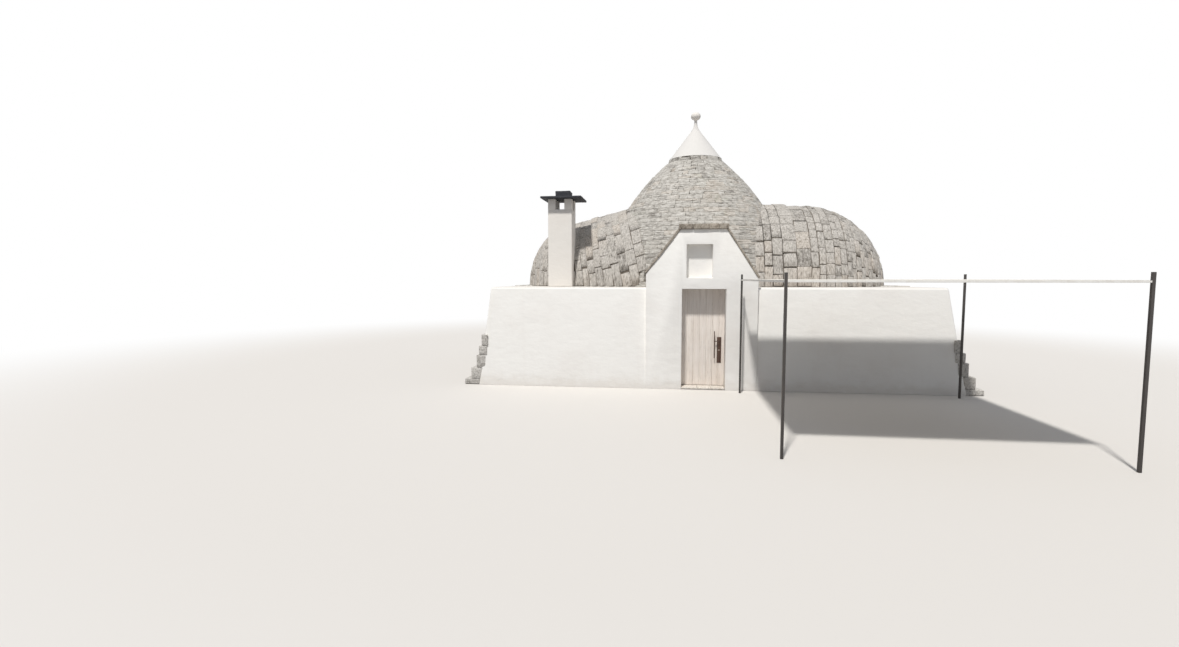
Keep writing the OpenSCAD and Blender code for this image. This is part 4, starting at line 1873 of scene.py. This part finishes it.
@dataclass
class Doorway:
    """The whitewashed gable with its niche, the threshold, the frame and the plank door."""

    frame: dict
    plan: Plan = PLAN
    boards: int = 7
    groove: float = 0.004
    ledge_h: float = 0.12
    slab_lengths: Span = (0.26, 0.38)
    flag: float = 0.44
    flag_joint: float = 0.008
    passage: Span = (-0.44, 0.6)
    keyhole_z: float = 0.8
    screw_across: float = 0.014
    screw_up: float = 0.022

    def gable(self) -> None:
        """Makes the gable and both jambs as one limewashed piece with soft edges."""
        plan = self.plan

        def outer(first: Vector, second: Vector) -> bool:
            """Chooses the front face's edges above the ground and the upper ones behind them.

            Args:
                first: One end of an edge.
                second: Its other end.

            Returns:
                True for those edges.
            """
            middle = (first + second) / 2.0
            ahead = max(first.y, second.y) < plan.front_y + 0.005
            corner = abs(first.y - second.y) > 0.1 and middle.y < plan.recess_y
            return (ahead and middle.z > 0.03) or (corner and middle.z > 2.0)

        nodes = ("door_jamb_left", "door_jamb_right", "gable_head")
        soft_piece("gable_wash", nodes, self.frame, BRIGHTENED_GABLE_WASH, outer, 0.016)

    def threshold(self, tree: StoneTree) -> None:
        """Lays the worn threshold in a few slabs.

        Args:
            tree: The tree that shapes the stones.
        """
        made = Masonry(
            "threshold_slabs", PAVING, seed=53, divisions=6, edge=0.008, wobble=0.008,
            replaces=("threshold",),
        )
        low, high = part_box("threshold")
        for first, last in cut_run(made.rng, high.x - low.x, *self.slab_lengths):
            middle = (low.y + high.y) / 2.0
            face = Vector((low.x + (first + last) / 2.0, middle, high.z))
            made.lay(face, UP, -FRONT, (last - first - 0.004, 0.039, high.y - low.y - 0.004))
        made.build(tree)

    def floor(self, tree: StoneTree) -> None:
        """Lays square flags over the whole room, a little above the floor's bed.

        Args:
            tree: The tree that shapes the stones.
        """
        made = Masonry("floor_flags", PAVING, seed=59, edge=0.005, wobble=0.006)
        low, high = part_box("floor")
        pitch = self.flag
        wide = pitch - self.flag_joint
        for row in range(int((high.y - low.y) / pitch) + 1):
            for column in range(int((high.x - low.x) / pitch) + 1):
                across = low.x + 0.02 + (column + 0.5) * pitch
                along = low.y + 0.01 + (row + 0.5) * pitch
                if self._in_room(across, along, pitch / 2.0 + 0.01):
                    face = Vector((across, along, high.z + 0.0025))
                    made.lay(face, UP, -FRONT, (wide, 0.03, wide))
        made.build(tree)

    def _in_room(self, across: float, along: float, reach: float) -> bool:
        """Tells whether a flag with that reach lies wholly inside the room.

        Args:
            across: The flag's middle along X.
            along: Its middle along Y.
            reach: Half its width.

        Returns:
            True if all its corners are inside.
        """
        corners = [(across + i * reach, along + j * reach) for i in (-1, 1) for j in (-1, 1)]
        middle = all(math.hypot(x, y) < self.plan.room_r for x, y in corners)
        ends = any(
            all(abs(y) < vault.radius_at(vault.inner, x * vault.side) for x, y in corners)
            for vault in VAULTS
        )
        left, right = self.passage
        passage = all(left < x < right and self.plan.recess_y < y < 0.0 for x, y in corners)
        return middle or ends or passage

    def wood_frame(self) -> None:
        """Makes the door's frame posts and head with eased edges."""
        for name in ("frame_post_left", "frame_post_right", "frame_head"):
            finish = LEDGE_WOOD if name == "frame_head" else DOOR_WOOD
            box = Box(*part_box(name), 0.004, tint=0.35)
            box_piece(name + "_wood", [box], finish, Slot.LIMEWOOD, name)

    def leaf(self) -> None:
        """Makes the leaf of upright boards on a core, and its ledges."""
        rng = random.Random(61)
        low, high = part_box("door_leaf")
        width = (high.x - low.x) / self.boards
        half = self.groove / 2.0
        boxes = []
        for index in range(self.boards):
            left = low.x + index * width + (half if index else 0.0)
            right = low.x + (index + 1) * width - (half if index < self.boards - 1 else 0.0)
            back = high.y - rng.uniform(0.0, 0.001)
            front = low.y + rng.uniform(0.0, 0.0016)
            boxes.append(Box((left, front, low.z), (right, back, high.z), 0.0035, rng.random()))
        foot = (low.x + 0.004, low.y + 0.014, low.z + 0.004)
        top = (high.x - 0.004, high.y - 0.012, high.z - 0.004)
        boxes.append(Box(foot, top, 0.001, tint=0.1, steps=1))
        box_piece("door_boards", boxes, DOOR_WOOD, Slot.LIMEWOOD, "door_leaf", Body.DOOR)
        low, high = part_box("door_ledges")
        height = self.ledge_h
        boxes = [
            Box((low.x, low.y, bottom), (high.x, high.y, bottom + height), 0.006, tint=0.6)
            for bottom in (low.z, (low.z + high.z - height) / 2.0, high.z - height)
        ]
        ledges = "door_ledges"
        box_piece("door_ledge_boards", boxes, LEDGE_WOOD, Slot.LIMEWOOD, ledges, Body.DOOR)

    def lock(self) -> None:
        """Makes the lock plate with its eased edge, keyhole cover and four screw heads."""
        low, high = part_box("lock_plate")
        work = bmesh.new()
        Box(low, high, 0.0022).add(work)
        for across in (low.x + self.screw_across, high.x - self.screw_across):
            for height in (low.z + self.screw_up, high.z - self.screw_up):
                self._disc(work, Vector((across, low.y, height)), 0.006, 0.0022, 12)
        piece = to_piece(work, "lock_plate_iron", BRONZE_PAINT)
        settle(piece, Body.DOOR, Slot.IRON, ("lock_plate",))
        cover = bmesh.new()
        middle = (low.x + high.x) / 2.0
        for out, radius, height in ((0.0, 0.016, 0.004), (0.004, 0.009, 0.003)):
            base = Vector((middle, low.y - out, self.keyhole_z))
            self._disc(cover, base, radius, height, 24)
        settle(to_piece(cover, "keyhole_cover", KEY_METAL), Body.DOOR, Slot.WHITE_STEEL)

    @staticmethod
    def _disc(
        work: bmesh.types.BMesh, base: Vector, radius: float, height: float, sides: int
    ) -> None:
        """Adds a low round head that stands out towards the front.

        Args:
            work: The working mesh.
            base: The middle of its base.
            radius: Its radius at the base.
            height: How far it stands out.
            sides: How many sides go round it.
        """
        rows = []
        for out, share in ((0.0, 1.0), (0.6, 1.0), (1.0, 0.72)):
            row = []
            for index in range(sides):
                angle = math.tau * index / sides
                offset = Vector((math.cos(angle), 0.0, math.sin(angle))) * (radius * share)
                row.append(work.verts.new(base + offset + FRONT * (height * out)))
            rows.append(row)
        for lower, upper in zip(rows, rows[1:]):
            for index in range(sides):
                after = (index + 1) % sides
                work.faces.new((lower[index], lower[after], upper[after], upper[index]))
        work.faces.new(rows[-1])
        work.faces.new(list(reversed(rows[0])))

    def build(self, tree: StoneTree) -> None:
        """Builds the whole doorway.

        Args:
            tree: The tree that shapes the stones.
        """
        self.gable()
        self.threshold(tree)
        self.floor(tree)
        self.wood_frame()
        self.leaf()
        self.lock()


@dataclass
class Chimney:
    """The square limewashed shaft with four corner stones, a slate slab and a weight stone."""

    frame: dict
    corner_w: float = 0.18

    def build(self, tree: StoneTree) -> None:
        """Builds the chimney from its shaft up.

        Args:
            tree: The tree that shapes the stones.
        """

        def every(first: Vector, second: Vector) -> bool:
            """Chooses every edge."""
            return True

        soft_piece("chimney_shaft_wash", ("chimney_shaft",), self.frame, SHAFT_WASH, every, 0.02)
        node = "chimney_merlons"
        low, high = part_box(node)
        side = self.corner_w
        boxes = [
            Box((left, near, low.z - 0.01), (left + side, near + side, high.z), 0.018, steps=3)
            for left in (low.x, high.x - side)
            for near in (low.y, high.y - side)
        ]
        box_piece("chimney_corner_stones", boxes, SHAFT_WASH, Slot.PLASTER, node)
        for name, edge, wobble, divisions in (
            ("chimney_slab", 0.006, 0.010, 10),
            ("chimney_weight", 0.014, 0.030, 6),
        ):
            low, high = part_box(name)
            made = Masonry(
                name + "_slate", SLATE, seed=67, slot=Slot.SLATE, divisions=divisions,
                edge=edge, wobble=wobble, wobble_scale=7.0, replaces=(name,),
            )
            middle = (low + high) / 2.0
            face = Vector((middle.x, middle.y, high.z - 0.002))
            sizes = (high.x - low.x, high.z - low.z, high.y - low.y)
            made.lay(face, UP, -FRONT, sizes, tint=0.5)
            made.build(tree)


@dataclass
class ShadeFrame:
    """Four slim dark posts, four white rails and the stretched cloth."""

    sag: float = 0.034
    crease: float = 0.0022
    cells: int = 48
    cloth_t: float = 0.003
    post_w: float = 0.037
    rail_w: float = 0.026

    def posts(self) -> None:
        """Makes the posts and rails as slim square tubes with rounded edges."""
        half = Vector((self.post_w / 2.0, self.post_w / 2.0, 0.0))
        for across in ("left", "right"):
            for along in ("front", "rear"):
                name = f"post_{along}_{across}"
                low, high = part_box(name)
                middle = (low + high) / 2.0
                foot = Vector((middle.x, middle.y, low.z))
                top = Vector((middle.x, middle.y, high.z))
                box = Box(foot - half, top + half, 0.004, steps=3)
                box_piece(name + "_tube", [box], POST_PAINT, Slot.STEEL, name)
        for name in ("rail_left", "rail_right", "rail_front", "rail_rear"):
            self._rail(name)

    def _rail(self, name: str) -> None:
        """Makes one rail, whose ends reach the slim posts.

        Args:
            name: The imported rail's name.
        """
        low, high = (corner.copy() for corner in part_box(name))
        along = 0 if high.x - low.x > high.y - low.y else 1
        slimmer = (high[1 - along] - low[1 - along] - self.rail_w) / 2.0
        low[1 - along] += slimmer
        high[1 - along] -= slimmer
        low.z = high.z - self.rail_w
        low[along] -= slimmer + self.rail_w / 4.0
        high[along] += slimmer + self.rail_w / 4.0
        box = Box(low, high, 0.003, steps=3)
        box_piece(name + "_tube", [box], RAIL_PAINT, Slot.WHITE_STEEL, name)

    def cloth(self) -> None:
        """Makes the cloth: one curved sheet with its thickness, stretched over the rails.

        It hangs lower by sag in its middle and has faint creases; both fade out at its edges.
        """
        low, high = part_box("shade_cloth")
        middle = (low + high) / 2.0
        span = high - low
        top = low.z + self.cloth_t + 0.0005
        work = bmesh.new()
        chart = work.loops.layers.uv.new("UVMap")
        rows = []
        for j in range(self.cells + 1):
            row = []
            for i in range(self.cells + 1):
                u = self._eased(i / self.cells)
                v = self._eased(j / self.cells)
                bow = 16.0 * u * (1.0 - u) * v * (1.0 - v)
                crease = math.sin(u * 23.0 + v * 3.0) * math.sin(v * 19.0) * self.crease
                edge = min(u, v, 1.0 - u, 1.0 - v)
                lift = -self.sag * bow**0.85 + crease * min(edge * 9.0, 1.0)
                row.append(work.verts.new((low.x + span.x * u, low.y + span.y * v, top + lift)))
            rows.append(row)
        for j in range(self.cells):
            for i in range(self.cells):
                corners = (rows[j][i], rows[j][i + 1], rows[j + 1][i + 1], rows[j + 1][i])
                face = work.faces.new(corners)
                for loop in face.loops:
                    spot = loop.vert.co
                    loop[chart].uv = (spot.x - middle.x, spot.y - middle.y)
        piece = to_piece(work, "shade_cloth_sheet", SAILCLOTH, sharp=80.0)
        bpy.context.scene.collection.objects.link(piece)
        thick = piece.modifiers.new("thickness", "SOLIDIFY")
        thick.thickness = self.cloth_t
        thick.offset = -1.0
        thick.use_even_offset = True
        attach(piece, Body.HOUSE.value)
        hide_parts("shade_cloth")
        log.info("%s: %d faces", piece.name, len(piece.data.polygons))

    @staticmethod
    def _eased(share: float) -> float:
        """Draws the rows closer together by the edges."""
        return 0.5 - 0.5 * math.cos(math.pi * share)

    @staticmethod
    def rails() -> list[str]:
        """Returns the names of the rails that carry the cloth."""
        return [f"rail_{side}_tube" for side in ("left", "right", "front", "rear")]

    def build(self) -> None:
        """Builds the frame, then the cloth on it."""
        self.posts()
        self.cloth()


# Carried-over nodes


CARRIED: dict[str, Finish] = {
    "floor": PAVING,
    "side_wall_left": JOINTS,
    "side_wall_right": JOINTS,
    "rear_wall_left": JOINTS,
    "rear_wall_right": JOINTS,
    "gable_roof": JOINTS,
    "vault_left": JOINTS,
    "vault_right": JOINTS,
    "cone_shell": JOINTS,
    "cone_cap": DARKENED_CAP_WASH,
    "cap_ball": SHAFT_WASH,
    "hinge_pintles": BRONZE_PAINT,
    "hinge_straps": BRONZE_PAINT,
    "door_pull": BRONZE_PAINT,
}


def dress_carried(frame: dict) -> None:
    """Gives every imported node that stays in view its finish.

    Args:
        frame: The loaded frame.
    """
    for name, finish in CARRIED.items():
        packed = frame["nodes"][name]
        for index in range(len(packed.material_slots)):
            packed.material_slots[index].material = finish.material()
        log.info("%s keeps its shape and takes %s", name, finish.name)


# Studio


@dataclass(frozen=True)
class Studio:
    """The pale floor, the white backdrop, the soft light and the camera."""

    floor_half: float = 90.0
    floor_z: float = -0.003
    sun_power: float = 3.15
    sun_angle: float = 4.0
    sun_way: Triple = (0.15, 0.48, -0.865)
    sun_colour: Triple = (1.0, 0.98, 0.945)
    fill: float = 0.4
    fill_colour: Colour = (0.86, 0.91, 1.0, 1.0)
    lens: float = 18.0
    sensor: float = 36.0
    stand: Triple = (-0.70, -15.49, 2.33)
    tilt: float = 4.42
    turn: float = 7.4

    def floor(self) -> None:
        """Lays the studio floor just under the house."""
        work = bmesh.new()
        half = self.floor_half
        corners = [(-half, -half), (half, -half), (half, half), (-half, half)]
        work.faces.new([work.verts.new((x, y, self.floor_z)) for x, y in corners])
        piece = to_piece(work, "studio_floor", STUDIO)
        bpy.context.scene.collection.objects.link(piece)
        piece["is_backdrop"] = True

    def lights(self) -> None:
        """Sets the main light and the even fill."""
        scene = bpy.context.scene
        lamp = bpy.data.lights.new("main_light", "SUN")
        lamp.energy = self.sun_power
        lamp.angle = math.radians(self.sun_angle)
        lamp.color = self.sun_colour
        holder = bpy.data.objects.new("main_light", lamp)
        holder.rotation_euler = Vector(self.sun_way).to_track_quat("-Z", "Y").to_euler()
        scene.collection.objects.link(holder)
        world = bpy.data.worlds.new("studio")
        scene.world = world
        world.use_nodes = True
        world.node_tree.nodes.clear()
        board = Board(world.node_tree)
        fill, white = (
            board.node("ShaderNodeBackground", inputs={"Color": colour, "Strength": power})
            for colour, power in ((self.fill_colour, self.fill), (WHITE, 1.0))
        )
        inputs = {0: seen_straight(board), 1: fill, 2: white}
        board.end(board.node("ShaderNodeMixShader", inputs=inputs), "ShaderNodeOutputWorld")

    def camera(self) -> None:
        """Sets the camera where the photograph was taken from."""
        scene = bpy.context.scene
        lens = bpy.data.cameras.new("camera")
        lens.lens = self.lens
        lens.sensor_width = self.sensor
        lens.sensor_fit = "HORIZONTAL"
        lens.clip_end = 300.0
        holder = bpy.data.objects.new("camera", lens)
        holder.location = self.stand
        holder.rotation_euler = (math.radians(90.0 - self.tilt), 0.0, math.radians(self.turn))
        scene.collection.objects.link(holder)
        scene.camera = holder
        scene.view_settings.view_transform = "Standard"

    def build(self) -> None:
        """Sets up the whole studio."""
        self.floor()
        self.lights()
        self.camera()


def clear_start() -> None:
    """Removes what a new file holds."""
    for item in list(bpy.data.objects):
        bpy.data.objects.remove(item)


def write_sizes(packed: Pair) -> None:
    """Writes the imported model's box and the dressed model's box.

    Args:
        packed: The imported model's lowest and highest corner.
    """
    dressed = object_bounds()
    boxes = {
        "cad": [list(corner) for corner in packed],
        "visual": [list(corner) for corner in dressed],
    }
    log.info("boxes: %s", boxes)


def main() -> None:
    """Builds the dressed house in order."""
    logging.basicConfig(level=logging.INFO, format="%(message)s")
    clear_start()
    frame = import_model()
    packed = Limits.take()
    tree = StoneTree()
    dress_carried(frame)
    Walls(frame).build(tree)
    Doorway(frame).build(tree)
    ConeRoof().build(tree)
    for vault in VAULTS:
        vault.build(tree)
    GableRoof().build(tree)
    Chimney(frame).build(tree)
    ShadeFrame().build()
    Studio().build()
    write_sizes(packed)


if __name__ == "__main__":
    main()
